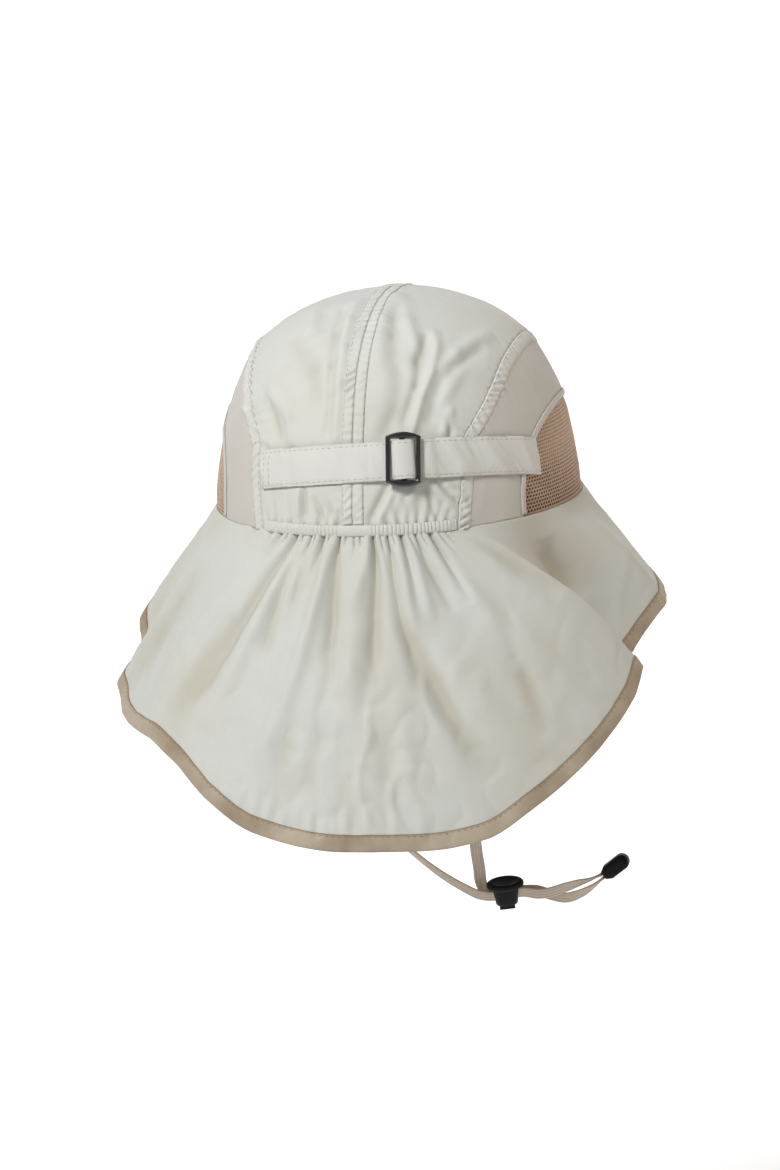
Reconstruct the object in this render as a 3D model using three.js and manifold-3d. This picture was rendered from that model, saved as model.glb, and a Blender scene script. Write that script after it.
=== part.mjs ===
// Sun hat with a long neck flap: a six-panel crown with mesh windows, a gathered flap at the back,
// a plain front brim, an adjusting strap with a slide buckle, and a chin cord with a spring lock.
// Millimetres, +Z up. The origin is the centre of the head opening, where the crown meets the flap.
// +X is the wearer's left and -Y the front. Angles are in degrees round Z, 0 at the back of the
// head and positive towards the wearer's right.
import * as THREE from 'three';
import Module from 'manifold-3d';
import { mergeVertices } from 'three/addons/utils/BufferGeometryUtils.js';

const wasm = await Module();
wasm.setup();

// Crown
const crownHalfWidth = 91;
const crownHalfLength = 104;
const crownHeight = 104;
const clothThickness = 1.2;
const seamGap = 0.3;

// Rows from the rim to the top, as shares of the half width and length, and of the height.
// The last row lies past the top and makes it round.
const crownSections = [
  { spread: 1, height: 0 },
  { spread: 0.992, height: 0.1 },
  { spread: 0.976, height: 0.2 },
  { spread: 0.94, height: 0.36 },
  { spread: 0.876, height: 0.53 },
  { spread: 0.8, height: 0.67 },
  { spread: 0.705, height: 0.775 },
  { spread: 0.585, height: 0.86 },
  { spread: 0.43, height: 0.93 },
  { spread: 0.26, height: 0.975 },
  { spread: 0, height: 1 },
  { spread: -0.26, height: 0.975 },
];

// Side seams of the crown's middle band: half width share at a height share
const sideSeamRows = [
  { height: 0, across: 0.52 },
  { height: 0.2, across: 0.54 },
  { height: 0.4, across: 0.545 },
  { height: 0.46, across: 0.58 },
  { height: 0.54, across: 0.625 },
  { height: 0.62, across: 0.66 },
  { height: 0.7, across: 0.682 },
  { height: 0.81, across: 0.725 },
];

// Mesh window: a rounded arch seen from the side, as shares of the half length and height
const meshHalfLengthShare = 0.635;
const meshHeightShare = 0.475;
const meshForwardShare = 0.048;
const meshRoundness = 2.3;

// Folds of the crown from one point to another: angle and height share of each end.
// Half width and depth in cloth thicknesses, ridges positive.
const crownFolds = [
  { angle: -24, height: 0.95, endAngle: -8.6, endHeight: 0.79, halfWidth: 6, depth: 1 },
  { angle: -8.6, height: 0.79, endAngle: -6, endHeight: 0.5, halfWidth: 4.5, depth: 1 },
  { angle: -42, height: 0.76, endAngle: -22, endHeight: 0.56, halfWidth: 6, depth: 1 },
  { angle: 31, height: 0.83, endAngle: 26.7, endHeight: 0.72, halfWidth: 4, depth: 1.6 },
  { angle: 26.7, height: 0.72, endAngle: 18, endHeight: 0.5, halfWidth: 3.5, depth: 1.6 },
  { angle: 22, height: 0.79, endAngle: 19, endHeight: 0.62, halfWidth: 4, depth: -1 },
  { angle: 7.4, height: 0.2, endAngle: 4.6, endHeight: 0.09, halfWidth: 2.6, depth: -1.8 },
  { angle: 21.5, height: 0.21, endAngle: 27.5, endHeight: 0.1, halfWidth: 2.6, depth: -1.5 },
];
const crownGatherAngles = [-24, -18.3, -14, -9.6, -4.4, 10, 14.5, 19.4];
const gatherHalfWidth = 2.4;
const gatherDepth = 1.6;
const gatherLow = 0.07;
const gatherHigh = 0.16;

// Skirt, which is the neck flap at the back and sides and the brim in front
const flapReach = 60;
const flapDrop = 137;
const visorReach = 78;
const skirtBulge = 9;
const flapEndAngle = 112;
const flapSeat = 0.7;

// One row for each lobe or valley of the hem. hem is its angle at the hem and base its angle at the
// rim. reach is a share of flapReach, visor of visorReach, drop of flapDrop, bulge of skirtBulge.
const skirtRows = [
  { hem: -180, base: -180, reach: 0, visor: 1, drop: 0.228, bulge: 0 },
  { hem: -165, base: -165, reach: 0.02, visor: 0.92, drop: 0.25, bulge: 0 },
  { hem: -150, base: -150, reach: 0.2, visor: 0.62, drop: 0.3, bulge: 0 },
  { hem: -130, base: -130, reach: 0.5, visor: 0.16, drop: 0.345, bulge: 0 },
  { hem: -112, base: -110, reach: 0.69, visor: 0, drop: 0.37, bulge: 0 },
  { hem: -97, base: -94, reach: 0.72, visor: 0, drop: 0.41, bulge: 0 },
  { hem: -88, base: -82, reach: 0.765, visor: 0, drop: 0.453, bulge: 0 },
  { hem: -82, base: -74, reach: 0.71, visor: 0, drop: 0.518, bulge: 0 },
  { hem: -76, base: -66, reach: 0.71, visor: 0, drop: 0.584, bulge: 0 },
  { hem: -70, base: -58, reach: 0.81, visor: 0, drop: 0.577, bulge: 0.1 },
  { hem: -65, base: -51, reach: 0.9, visor: 0, drop: 0.609, bulge: 0.2 },
  { hem: -57, base: -41, reach: 0.91, visor: 0, drop: 0.679, bulge: 0.3 },
  { hem: -50, base: -32, reach: 0.92, visor: 0, drop: 0.693, bulge: 0.3 },
  { hem: -42, base: -24, reach: 0.96, visor: 0, drop: 0.69, bulge: 0.3 },
  { hem: -33, base: -18, reach: 1, visor: 0, drop: 0.735, bulge: 0.3 },
  { hem: -24, base: -12.5, reach: 1.01, visor: 0, drop: 0.854, bulge: 0.3 },
  { hem: -15, base: -8, reach: 1, visor: 0, drop: 0.946, bulge: 0.3 },
  { hem: 0, base: 0, reach: 0.985, visor: 0, drop: 0.996, bulge: 0.3 },
  { hem: 15, base: 8, reach: 1, visor: 0, drop: 0.998, bulge: 0.3 },
  { hem: 24, base: 12.5, reach: 1.01, visor: 0, drop: 0.978, bulge: 0.3 },
  { hem: 33, base: 17, reach: 1.005, visor: 0, drop: 0.893, bulge: 0.3 },
  { hem: 42, base: 21.5, reach: 0.99, visor: 0, drop: 0.798, bulge: 0.4 },
  { hem: 50, base: 25, reach: 0.953, visor: 0, drop: 0.708, bulge: 0.65 },
  { hem: 58, base: 28, reach: 0.913, visor: 0, drop: 0.61, bulge: 0.9 },
  { hem: 64, base: 31.5, reach: 0.83, visor: 0, drop: 0.536, bulge: 1 },
  { hem: 70, base: 39, reach: 0.63, visor: 0, drop: 0.562, bulge: -0.2 },
  { hem: 78, base: 52, reach: 0.45, visor: 0, drop: 0.555, bulge: -0.65 },
  { hem: 84, base: 64, reach: 0.523, visor: 0, drop: 0.489, bulge: 0 },
  { hem: 90, base: 76, reach: 0.67, visor: 0, drop: 0.404, bulge: 0.3 },
  { hem: 97, base: 88, reach: 0.645, visor: 0, drop: 0.4, bulge: 0.1 },
  { hem: 112, base: 108, reach: 0.6, visor: 0, drop: 0.38, bulge: 0 },
  { hem: 130, base: 129, reach: 0.46, visor: 0.16, drop: 0.355, bulge: 0 },
  { hem: 150, base: 150, reach: 0.18, visor: 0.62, drop: 0.305, bulge: 0 },
  { hem: 165, base: 165, reach: 0.02, visor: 0.92, drop: 0.25, bulge: 0 },
];

// Folds of the flap. top and low are the hem angles that each end follows, from and to its shares
// of the way down, halfWidth is in degrees and depth in cloth thicknesses, ridges positive.
const flapFolds = [
  { top: -30.5, low: -33, from: 0, to: 0.7, halfWidth: 3.2, depth: -2.6 },
  { top: -12, low: -15, from: 0.05, to: 0.7, halfWidth: 4.5, depth: 2.4 },
  { top: -5, low: -4, from: 0.05, to: 0.6, halfWidth: 3, depth: -2 },
  { top: 3, low: 2.4, from: 0.12, to: 0.7, halfWidth: 4, depth: 1.6 },
  { top: 15, low: 15, from: 0, to: 0.45, halfWidth: 3.4, depth: -2.2 },
  { top: 18, low: 27, from: 0.3, to: 0.85, halfWidth: 4.5, depth: -2.2 },
  { top: 38, low: 41, from: 0, to: 0.3, halfWidth: 3.2, depth: -1.6 },
  { top: 30, low: 36, from: 0.2, to: 0.9, halfWidth: 5, depth: 1.6 },
  { top: -45, low: -47, from: 0.2, to: 1.2, halfWidth: 6, depth: 1.8 },
];
const flapGatherAngles = [-35.4, -23.5, -17.5, -8, -1, 10, 22.4, 29.4, 36, 43];
const flapGatherHalfWidth = 2.4;
const flapGatherDepth = 1.9;
const flapGatherLength = 0.2;

// Hem binding
const bindingWidth = 7;
const bindingThickness = 0.8;

// Elastic casing between the side seams
const casingHeight = 5;
const casingThickness = 1;
const casingRibDepth = 0.7;
const casingRibPitch = 2.1;
const casingStartAngle = -27;
const casingEndAngle = 27.6;

// Back strap, its slide buckle and the hidden tab that holds the buckle
const strapWidth = 18.5;
const strapThickness = 1.2;
const strapStartAngle = -29.5;
const strapEndAngle = 60;
const strapMiddleAngle = 13;
const strapHeightShare = 0.332;
const strapSagShare = 0.072;
const buckleAngle = 13.9;
const buckleWidth = 17;
const buckleRail = 3.3;
const buckleRailArch = 2.2;
const buckleSide = 2.5;
const buckleThickness = 2.6;
const buckleBevel = 0.5;
const buckleBarWidth = 2.6;
const buckleBarThickness = 1.6;
const tabThickness = 0.8;
const tabEndAngle = 31;
const tabFoldLength = 12;
const layerGap = 0.3;
const strapEdgeClearance = 0.5;
// Where the strap starts to rise to the buckle, how far it takes to settle behind the tab, and how
// much its corners are eased
const strapRiseFrom = -14;
const strapSettle = 6;
const bendEase = 0.25;
// Ribbons turn flat near the buckle, over this many of its half widths
const flatReach = 2.2;

// Chin cord, a flat ribbed elastic, with its spring lock and its end
const cordWidth = 6.5;
const cordThickness = 1.5;
const cordSteps = 28;
const lockPlace = [-41.3, -20, -212.8];
const lockTurn = 193;
const lockLean = -4;
const lockTilt = 23;
const lockHeadWidth = 19.5;
const lockHeadDepth = 10.5;
const lockHeadThickness = 3.4;
const lockHeadSink = 0.3;
const lockBodyWidth = 13.5;
const lockBodyTaper = 0.86;
const lockBodyDepth = 9;
const lockBodyHeight = 9.6;
const lockSlotDepth = 4;
const lockSlotHeight = 7.4;
const lockWall = 1;
const buttonWidth = 8.6;
const buttonStandOut = 3;
const buttonClearance = 0.3;
const buttonTravel = 2.2;
const cordEndPlace = [-92.6, -20.2, -202.3];
const cordEndLength = 16;
const cordEndWidth = 8;
const cordEndThickness = 7.6;
const cordEndTurn = 0;
const cordEndRise = 38;

// Routes of the two halves of the chin cord, from the rim through the lock to the cord end.
// Each row is x, y, z and the angle in degrees by which the flat side turns round the cord.
const leftRoute = [
  [87.5, -10, 6, 0], [87.5, -10, 0, 0], [86.8, -10, -10, 0], [84, -10.2, -26, -2],
  [79, -10.6, -46, -5], [72, -11.2, -68, -9], [63.2, -12, -92, -14], [52.8, -13, -117, -19],
  [41, -14, -142, -24], [28, -15, -164, -29], [14.5, -15.6, -182, -35],
  [0.9, -16, -194.8, -42], [-10.4, -16.2, -203.4, -52], [-21.6, -16.2, -210, -60],
  [-27.6, -16.4, -212.8, -64], [-32.8, -17.1, -213.8, -65], [-41.5, -19.2, -213.2, -65],
  [-50.3, -21.2, -212.5, -66], [-57, -21.4, -213.3, -70], [-64, -20.9, -212.4, -70],
  [-72, -20.4, -209.4, -60], [-79.5, -20.2, -206.6, -42], [-85.6, -20.2, -204.6, -20],
  [-91.7, -20.2, -201.8, -3],
];
const rightRoute = [
  [-87.5, -10, 6, 0], [-87.5, -10, 0, 0], [-86.4, -10, -10, 0], [-82.2, -10.4, -28, -4],
  [-74.6, -11, -50, -10], [-65, -12, -74, -18], [-54.8, -13.4, -98, -28],
  [-45, -15, -121, -40], [-36.6, -16.8, -143, -52], [-30, -18.4, -162, -64],
  [-26.6, -19.4, -178, -76], [-26.6, -20.4, -190, -86], [-27.6, -20.9, -200, -88],
  [-28.1, -20.9, -207, -84], [-30.4, -19.6, -211.7, -72], [-34.4, -19.3, -212.9, -65],
  [-41.1, -20.9, -212.4, -65], [-49.8, -22.9, -211.8, -66], [-57, -24.6, -212.4, -72],
  [-64, -24.8, -214.8, -78], [-71.5, -24.2, -216, -70], [-79, -23, -213.4, -54],
  [-85.6, -21.4, -209.2, -28], [-90.2, -20.4, -205.6, -8], [-92.9, -20.2, -203.3, -3],
];

const radians = THREE.MathUtils.degToRad;
const crownMaterial = { color: 0xd9d8ce, roughness: 0.85, metalness: 0 };
const sideMaterial = { color: 0xcfc8bb, roughness: 0.85, metalness: 0 };
const meshMaterial = { color: 0xa18973, roughness: 0.9, metalness: 0 };
const bindingMaterial = { color: 0xa5937e, roughness: 0.85, metalness: 0 };
const strapMaterial = { color: 0xd6d4cb, roughness: 0.8, metalness: 0 };
const cordMaterial = { color: 0x94826f, roughness: 0.85, metalness: 0 };
const plasticMaterial = { color: 0x141414, roughness: 0.25, metalness: 0 };

// Curves through table rows

// Smooth value at x through the points xs, ys, without overshoot
function smooth(xs, ys, x) {
  let i = 0;
  while (i < xs.length - 2 && x > xs[i + 1]) i += 1;
  const slope = (k) => (ys[k + 1] - ys[k]) / (xs[k + 1] - xs[k]);
  const tangent = (k) => {
    if (k === 0) return slope(0);
    if (k === xs.length - 1) return slope(k - 1);
    const product = slope(k - 1) * slope(k);
    return product <= 0 ? 0 : (2 * product) / (slope(k - 1) + slope(k));
  };
  const width = xs[i + 1] - xs[i];
  const t = THREE.MathUtils.clamp((x - xs[i]) / width, 0, 1);
  const value = ys[i] * (2 * t ** 3 - 3 * t ** 2 + 1) + ys[i + 1] * (3 * t ** 2 - 2 * t ** 3);
  const lean = tangent(i) * (t ** 3 - 2 * t ** 2 + t) + tangent(i + 1) * (t ** 3 - t ** 2);
  return value + lean * width;
}

function column(rows, name) {
  return rows.map((row) => row[name]);
}

function bump(distance, halfWidth) {
  return Math.exp(-((distance / halfWidth) ** 2));
}

// Crown surface, with the sweep running from 0 at the rim to 1 at the top

const crownRadius = (crownHalfWidth + crownHalfLength) / 2;
const sectionReach = [0];
for (let i = 1; i < crownSections.length; i += 1) {
  const out = (crownSections[i].spread - crownSections[i - 1].spread) * crownRadius;
  const up = (crownSections[i].height - crownSections[i - 1].height) * crownHeight;
  sectionReach.push(sectionReach[i - 1] + Math.hypot(out, up));
}
const meridianLength = sectionReach[crownSections.length - 2];
const sectionSweeps = sectionReach.map((reach) => reach / meridianLength);
const sectionSpreads = column(crownSections, 'spread');
const sectionHeights = column(crownSections, 'height');

function rimRadius(angle) {
  const a = radians(angle);
  return 1 / Math.hypot(Math.sin(a) / crownHalfWidth, Math.cos(a) / crownHalfLength);
}

function plainCrown(angle, sweep) {
  const radius = rimRadius(angle) * smooth(sectionSweeps, sectionSpreads, sweep);
  const height = smooth(sectionSweeps, sectionHeights, sweep) * crownHeight + seamGap;
  const a = radians(angle);
  return new THREE.Vector3(-radius * Math.sin(a), radius * Math.cos(a), height);
}

function sweepAtHeight(height) {
  let low = 0;
  let high = 1;
  for (let i = 0; i < 30; i += 1) {
    const middle = (low + high) / 2;
    if (plainCrown(0, middle).z < height) low = middle;
    else high = middle;
  }
  return low;
}

function crownFrame(angle, sweep) {
  const here = Math.min(sweep, 0.995);
  const along = plainCrown(angle + 0.5, here).sub(plainCrown(angle - 0.5, here)).normalize();
  const up = plainCrown(angle, here + 0.004).sub(plainCrown(angle, here - 0.004)).normalize();
  const out = new THREE.Vector3().crossVectors(along, up).normalize();
  return { along, up, out };
}

const crownFoldLines = crownFolds.map((fold) => ({
  line: new THREE.Line3(
    plainCrown(fold.angle, sweepAtHeight(fold.height * crownHeight)),
    plainCrown(fold.endAngle, sweepAtHeight(fold.endHeight * crownHeight)),
  ),
  halfWidth: fold.halfWidth * clothThickness,
  depth: fold.depth * clothThickness,
}));
for (const angle of crownGatherAngles) {
  crownFoldLines.push({
    line: new THREE.Line3(
      plainCrown(angle, sweepAtHeight(gatherLow * crownHeight)),
      plainCrown(angle, sweepAtHeight(gatherHigh * crownHeight)),
    ),
    halfWidth: gatherHalfWidth,
    depth: -gatherDepth,
  });
}

function crownFoldDepth(point) {
  const nearest = new THREE.Vector3();
  let depth = 0;
  for (const fold of crownFoldLines) {
    fold.line.closestPointToPoint(point, true, nearest);
    depth += fold.depth * bump(nearest.distanceTo(point), fold.halfWidth);
  }
  return depth;
}

// A point of the crown, lifted off its cloth by offset
function crownPoint(angle, sweep, offset) {
  const point = plainCrown(angle, sweep);
  if (sweep >= 1) return point.setZ(point.z + offset);
  return point.addScaledVector(crownFrame(angle, sweep).out, offset);
}

// Skirt surface, with t running from 0 at the rim to 1 at the hem

const turnedRows = skirtRows.map((row) => ({ ...row, hem: row.hem + 360, base: row.base + 360 }));
const wrappedRows = [...skirtRows, ...turnedRows];
const skirtColumns = {};
for (const name of ['hem', 'base', 'reach', 'visor', 'drop', 'bulge']) {
  skirtColumns[name] = column(wrappedRows, name);
}

function skirtValue(name, angle) {
  return smooth(skirtColumns.hem, skirtColumns[name], angle);
}

function plainSkirt(angle, t) {
  const baseAngle = skirtValue('base', angle);
  const rim = rimRadius(baseAngle);
  const reach = skirtValue('reach', angle) * flapReach + skirtValue('visor', angle) * visorReach;
  const hemRadius = rimRadius(angle) + reach;
  const drop = skirtValue('drop', angle) * flapDrop;
  const bulge = skirtValue('bulge', angle) * skirtBulge * Math.sin(Math.PI * Math.min(t, 1));
  const b = radians(baseAngle);
  const a = radians(angle);
  const rimPoint = new THREE.Vector3(-rim * Math.sin(b), rim * Math.cos(b), -flapSeat);
  const hemPoint = new THREE.Vector3(-hemRadius * Math.sin(a), hemRadius * Math.cos(a), -drop);
  const fall = hemPoint.clone().sub(rimPoint);
  const outward = new THREE.Vector3(-Math.sin(a), Math.cos(a), 0);
  const lift = outward.clone().multiplyScalar(-fall.z);
  lift.z = fall.dot(outward);
  return rimPoint.addScaledVector(fall, t).addScaledVector(lift.normalize(), bulge);
}

function fadeBetween(t, from, to) {
  const share = THREE.MathUtils.clamp((t - from) / (to - from), 0, 1);
  return Math.sqrt(Math.sin(Math.PI * share));
}

function flapFoldDepth(angle, t) {
  let depth = 0;
  for (const fold of flapFolds) {
    const share = THREE.MathUtils.clamp((t - fold.from) / (fold.to - fold.from), 0, 1);
    const middle = fold.top + (fold.low - fold.top) * share;
    const fade = fadeBetween(t, fold.from, fold.to);
    depth += fold.depth * clothThickness * fade * bump(angle - middle, fold.halfWidth);
  }
  const fade = Math.max(0, 1 - t / flapGatherLength);
  for (const gather of flapGatherAngles) {
    depth -= flapGatherDepth * fade * bump(angle - gather, flapGatherHalfWidth);
  }
  return depth;
}

function skirtPoint(angle, t, offset) {
  const across = plainSkirt(angle + 0.25, t).sub(plainSkirt(angle - 0.25, t));
  const down = plainSkirt(angle, t + 0.01).sub(plainSkirt(angle, t - 0.01));
  const out = new THREE.Vector3().crossVectors(down, across).normalize();
  return plainSkirt(angle, t).addScaledVector(out, offset + flapFoldDepth(angle, t));
}

function skirtLength(angle) {
  return plainSkirt(angle, 0).distanceTo(plainSkirt(angle, 1));
}

// Closed bodies from grids and rings of points

function bodyFrom(points, faces) {
  const position = new Float32Array(points.flatMap((p) => [p.x, p.y, p.z]));
  let volume = 0;
  for (const [a, b, c] of faces) {
    volume += points[a].dot(new THREE.Vector3().crossVectors(points[b], points[c]));
  }
  const index = volume < 0 ? faces.map(([a, b, c]) => [a, c, b]) : faces;
  const geometry = new THREE.BufferGeometry();
  geometry.setAttribute('position', new THREE.BufferAttribute(position, 3));
  geometry.setIndex(index.flat());
  geometry.computeVertexNormals();
  return geometry;
}

// Rings of points joined one to the next, closed at both ends by the outline's own triangles
function ringBody(rings, outline) {
  const count = outline.length;
  const points = rings.flat();
  const faces = [];
  for (let i = 0; i < rings.length - 1; i += 1) {
    for (let k = 0; k < count; k += 1) {
      const next = (k + 1) % count;
      const a = i * count + k;
      const b = i * count + next;
      faces.push([a, b, b + count], [a, b + count, a + count]);
    }
  }
  const cap = THREE.ShapeUtils.triangulateShape(outline, []);
  const end = (rings.length - 1) * count;
  const forward = THREE.ShapeUtils.area(outline) > 0;
  for (const [a, b, c] of cap) {
    faces.push(forward ? [a, c, b] : [a, b, c]);
    faces.push(forward ? [end + a, end + b, end + c] : [end + a, end + c, end + b]);
  }
  return bodyFrom(points, faces);
}

// A sheet of cloth between its outer and inner faces, over a grid of columns and rows
function sheetBody(columns, rows, pointAt, thickness) {
  const outline = [];
  for (const row of rows) outline.push({ row, side: thickness / 2 });
  for (const row of [...rows].reverse()) outline.push({ row, side: -thickness / 2 });
  const stretch = thickness * 100;
  const flat = outline.map(({ row, side }) => new THREE.Vector2(row * stretch, side));
  const rings = columns.map((angle) => outline.map(({ row, side }) => pointAt(angle, row, side)));
  return ringBody(rings, flat);
}

function solidFrom(geometry) {
  const plain = geometry.index ? geometry.clone() : geometry;
  plain.deleteAttribute('normal');
  plain.deleteAttribute('uv');
  const merged = mergeVertices(plain, 1e-5);
  return new wasm.Manifold(new wasm.Mesh({
    numProp: 3,
    vertProperties: new Float32Array(merged.attributes.position.array),
    triVerts: new Uint32Array(merged.index.array),
  }));
}

function geometryFrom(solid) {
  const result = solid.getMesh();
  const geometry = new THREE.BufferGeometry();
  geometry.setAttribute('position', new THREE.BufferAttribute(result.vertProperties, 3));
  geometry.setIndex(new THREE.BufferAttribute(result.triVerts, 1));
  geometry.computeVertexNormals();
  return geometry;
}

const hat = new THREE.Group();

function addPiece(name, geometry, look, parent = hat) {
  const mesh = new THREE.Mesh(geometry, new THREE.MeshStandardMaterial(look));
  mesh.name = name;
  parent.add(mesh);
  return mesh;
}

// Crown panels, cut from one shell along their seams

const crownSweeps = [
  0, 0.04, 0.1, 0.17, 0.26, 0.36, 0.46, 0.56, 0.66, 0.76, 0.86, 0.94, 1,
];
const crownAngles = [];
for (let angle = -30; angle <= 30; angle += 3) crownAngles.push(angle);
for (const angle of [36, 43, 51]) crownAngles.push(angle);
for (let angle = 60; angle < 301; angle += 12) crownAngles.push(angle);
for (const angle of [309, 317, 324]) crownAngles.push(angle);

function domeSolid(offset, floor) {
  const points = [];
  const faces = [];
  const count = crownAngles.length;
  for (const sweep of crownSweeps.slice(0, -1)) {
    for (const angle of crownAngles) {
      const turned = angle > 180 ? angle - 360 : angle;
      const depth = crownFoldDepth(plainCrown(turned, sweep));
      points.push(crownPoint(turned, sweep, offset + depth));
    }
  }
  for (let k = 0; k < count; k += 1) points[k].setZ(floor);
  const rows = crownSweeps.length - 1;
  for (let i = 0; i < rows - 1; i += 1) {
    for (let k = 0; k < count; k += 1) {
      const next = (k + 1) % count;
      const a = i * count + k;
      const b = i * count + next;
      faces.push([a, b, b + count], [a, b + count, a + count]);
    }
  }
  const top = points.length;
  points.push(crownPoint(0, 1, offset));
  const bottom = points.length;
  points.push(new THREE.Vector3(0, 0, floor));
  for (let k = 0; k < count; k += 1) {
    const next = (k + 1) % count;
    faces.push([(rows - 1) * count + k, (rows - 1) * count + next, top]);
    faces.push([next, k, bottom]);
  }
  return solidFrom(bodyFrom(points, faces));
}

// A prism with its outline in the XZ plane, running along Y from one end to the other
function prismAlongY(outline, from, to) {
  const shape = new THREE.Shape(outline.map(([x, z]) => new THREE.Vector2(x, z)));
  const prism = new THREE.ExtrudeGeometry(shape, { depth: to - from, bevelEnabled: false });
  return solidFrom(prism.rotateX(Math.PI / 2).translate(0, to, 0));
}

// A prism with its outline in the YZ plane, running along X from one end to the other
function prismAlongX(outline, from, to) {
  const shape = new THREE.Shape(outline.map(([y, z]) => new THREE.Vector2(y, z)));
  const prism = new THREE.ExtrudeGeometry(shape, { depth: to - from, bevelEnabled: false });
  const turned = prism.rotateX(Math.PI / 2).rotateZ(Math.PI / 2);
  return solidFrom(turned.translate(from, 0, 0));
}

function bandOutline(margin) {
  const right = [[sideSeamRows[0].across * crownHalfWidth + margin, -crownHeight]];
  for (const row of sideSeamRows) {
    right.push([row.across * crownHalfWidth + margin, row.height * crownHeight]);
  }
  right.push([crownHalfWidth * 2, crownHeight * 0.83 + margin]);
  right.push([crownHalfWidth * 2, crownHeight * 2]);
  const left = [...right].reverse().map(([x, z]) => [-x, z]);
  return [...right, ...left];
}

function meshOutline(margin) {
  const halfLength = meshHalfLengthShare * crownHalfLength + margin;
  const height = meshHeightShare * crownHeight + margin;
  const middle = -meshForwardShare * crownHalfLength;
  const points = [[middle + halfLength, -crownHeight]];
  const steps = 14;
  for (let i = 0; i <= steps; i += 1) {
    const a = (Math.PI * i) / steps;
    const along = Math.sign(Math.cos(a)) * Math.abs(Math.cos(a)) ** (2 / meshRoundness);
    const up = Math.sin(a) ** (2 / meshRoundness);
    points.push([middle + halfLength * along, height * Math.max(up, 0)]);
  }
  points.push([middle - halfLength, -crownHeight]);
  return points;
}

const outerDome = domeSolid(0, seamGap);
const innerDome = domeSolid(-clothThickness, -seamGap);
const shell = outerDome.subtract(innerDome);
const farOut = crownHalfLength * 2;
const bandPrism = prismAlongY(bandOutline(-seamGap / 2), -farOut, farOut);
const wideBandPrism = prismAlongY(bandOutline(seamGap / 2), -farOut, farOut);
const band = shell.intersect(bandPrism);
const sides = shell.subtract(wideBandPrism);
const square = (from, to) => [[from, -farOut], [to, -farOut], [to, farOut], [from, farOut]];

for (const [side, sign] of [['left', 1], ['right', -1]]) {
  const from = sign > 0 ? seamGap / 2 : -farOut;
  const to = sign > 0 ? farOut : -seamGap / 2;
  const half = prismAlongX(square(-farOut, farOut), from, to);
  const windowHole = prismAlongX(meshOutline(seamGap / 2), from, to);
  const windowFill = prismAlongX(meshOutline(-seamGap / 2), from, to);
  addPiece(`crown_${side}`, geometryFrom(band.intersect(half)), crownMaterial);
  const sidePanel = sides.intersect(half).subtract(windowHole);
  addPiece(`side_panel_${side}`, geometryFrom(sidePanel), sideMaterial);
  const meshPanel = shell.intersect(windowFill).subtract(wideBandPrism);
  addPiece(`mesh_panel_${side}`, geometryFrom(meshPanel), meshMaterial);
}

// Elastic casing, ribbed where the elastic gathers it

function addElasticCasing() {
  const arc = radians(casingEndAngle - casingStartAngle) * crownHalfLength;
  const halfRibs = Math.round((arc / casingRibPitch) * 2);
  const rings = [];
  for (let i = 0; i <= halfRibs; i += 1) {
    const angle = casingStartAngle + ((casingEndAngle - casingStartAngle) * i) / halfRibs;
    const outside = seamGap + casingThickness + (i % 2) * casingRibDepth;
    rings.push([
      crownPoint(angle, 0, seamGap),
      crownPoint(angle, 0, outside),
      crownPoint(angle, casingHeight / meridianLength, outside),
      crownPoint(angle, casingHeight / meridianLength, seamGap),
    ]);
  }
  const outline = [[0, 0], [1, 0], [1, 1], [0, 1]].map(([x, y]) => new THREE.Vector2(x, y));
  addPiece('elastic_casing', ringBody(rings, outline), crownMaterial);
}
addElasticCasing();

// Flap and brim, two parts of one skirt, each with its bound hem

function evenAngles(from, to, steps) {
  return Array.from({ length: steps + 1 }, (_, i) => from + ((to - from) * i) / steps);
}

function skirtSheet(angles, rowCount) {
  const rows = [];
  for (let i = 0; i <= rowCount; i += 1) rows.push(i / rowCount);
  const pointAt = (angle, row, side) => {
    const edge = 1 - bindingWidth / skirtLength(angle);
    const t = row < 1 ? (row * rowCount * edge) / (rowCount - 1) : 1;
    return skirtPoint(angle, t, side);
  };
  return sheetBody(angles, rows, pointAt, clothThickness);
}

function skirtBinding(angles) {
  const inner = clothThickness / 2 + seamGap;
  const outer = inner + bindingThickness;
  const section = [
    [bindingWidth, inner], [bindingWidth, outer], [-seamGap - bindingThickness, outer],
    [-seamGap - bindingThickness, -outer], [bindingWidth, -outer], [bindingWidth, -inner],
    [-seamGap, -inner], [-seamGap, inner],
  ];
  const outline = section.map(([x, y]) => new THREE.Vector2(x, y));
  const rings = angles.map((angle) => {
    const length = skirtLength(angle);
    return section.map(([inward, side]) => skirtPoint(angle, 1 - inward / length, side));
  });
  return ringBody(rings, outline);
}

const endGap = THREE.MathUtils.radToDeg(seamGap / crownRadius) / 2;
const flapAngles = evenAngles(-flapEndAngle + endGap, flapEndAngle - endGap, 78);
const brimAngles = evenAngles(flapEndAngle + endGap, 360 - flapEndAngle - endGap, 24);
addPiece('neck_flap', skirtSheet(flapAngles, 8), crownMaterial);
addPiece('brim', skirtSheet(brimAngles, 5), crownMaterial);
addPiece('flap_binding', skirtBinding(flapAngles), bindingMaterial);
addPiece('brim_binding', skirtBinding(brimAngles), bindingMaterial);

// Back strap and tab. Both are ribbons on paths of distance along the head from the buckle's
// middle and lift of the ribbon's middle off the crown.

const buckleSweep = sweepAtHeight(strapHeightShare * crownHeight);
const buckleFrame = crownFrame(buckleAngle, buckleSweep);
const buckleCentre = plainCrown(buckleAngle, buckleSweep);
const sideMiddle = buckleWidth / 2 - buckleSide / 2;
const perDegree = plainCrown(buckleAngle - 0.5, buckleSweep)
  .distanceTo(plainCrown(buckleAngle + 0.5, buckleSweep));

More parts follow.
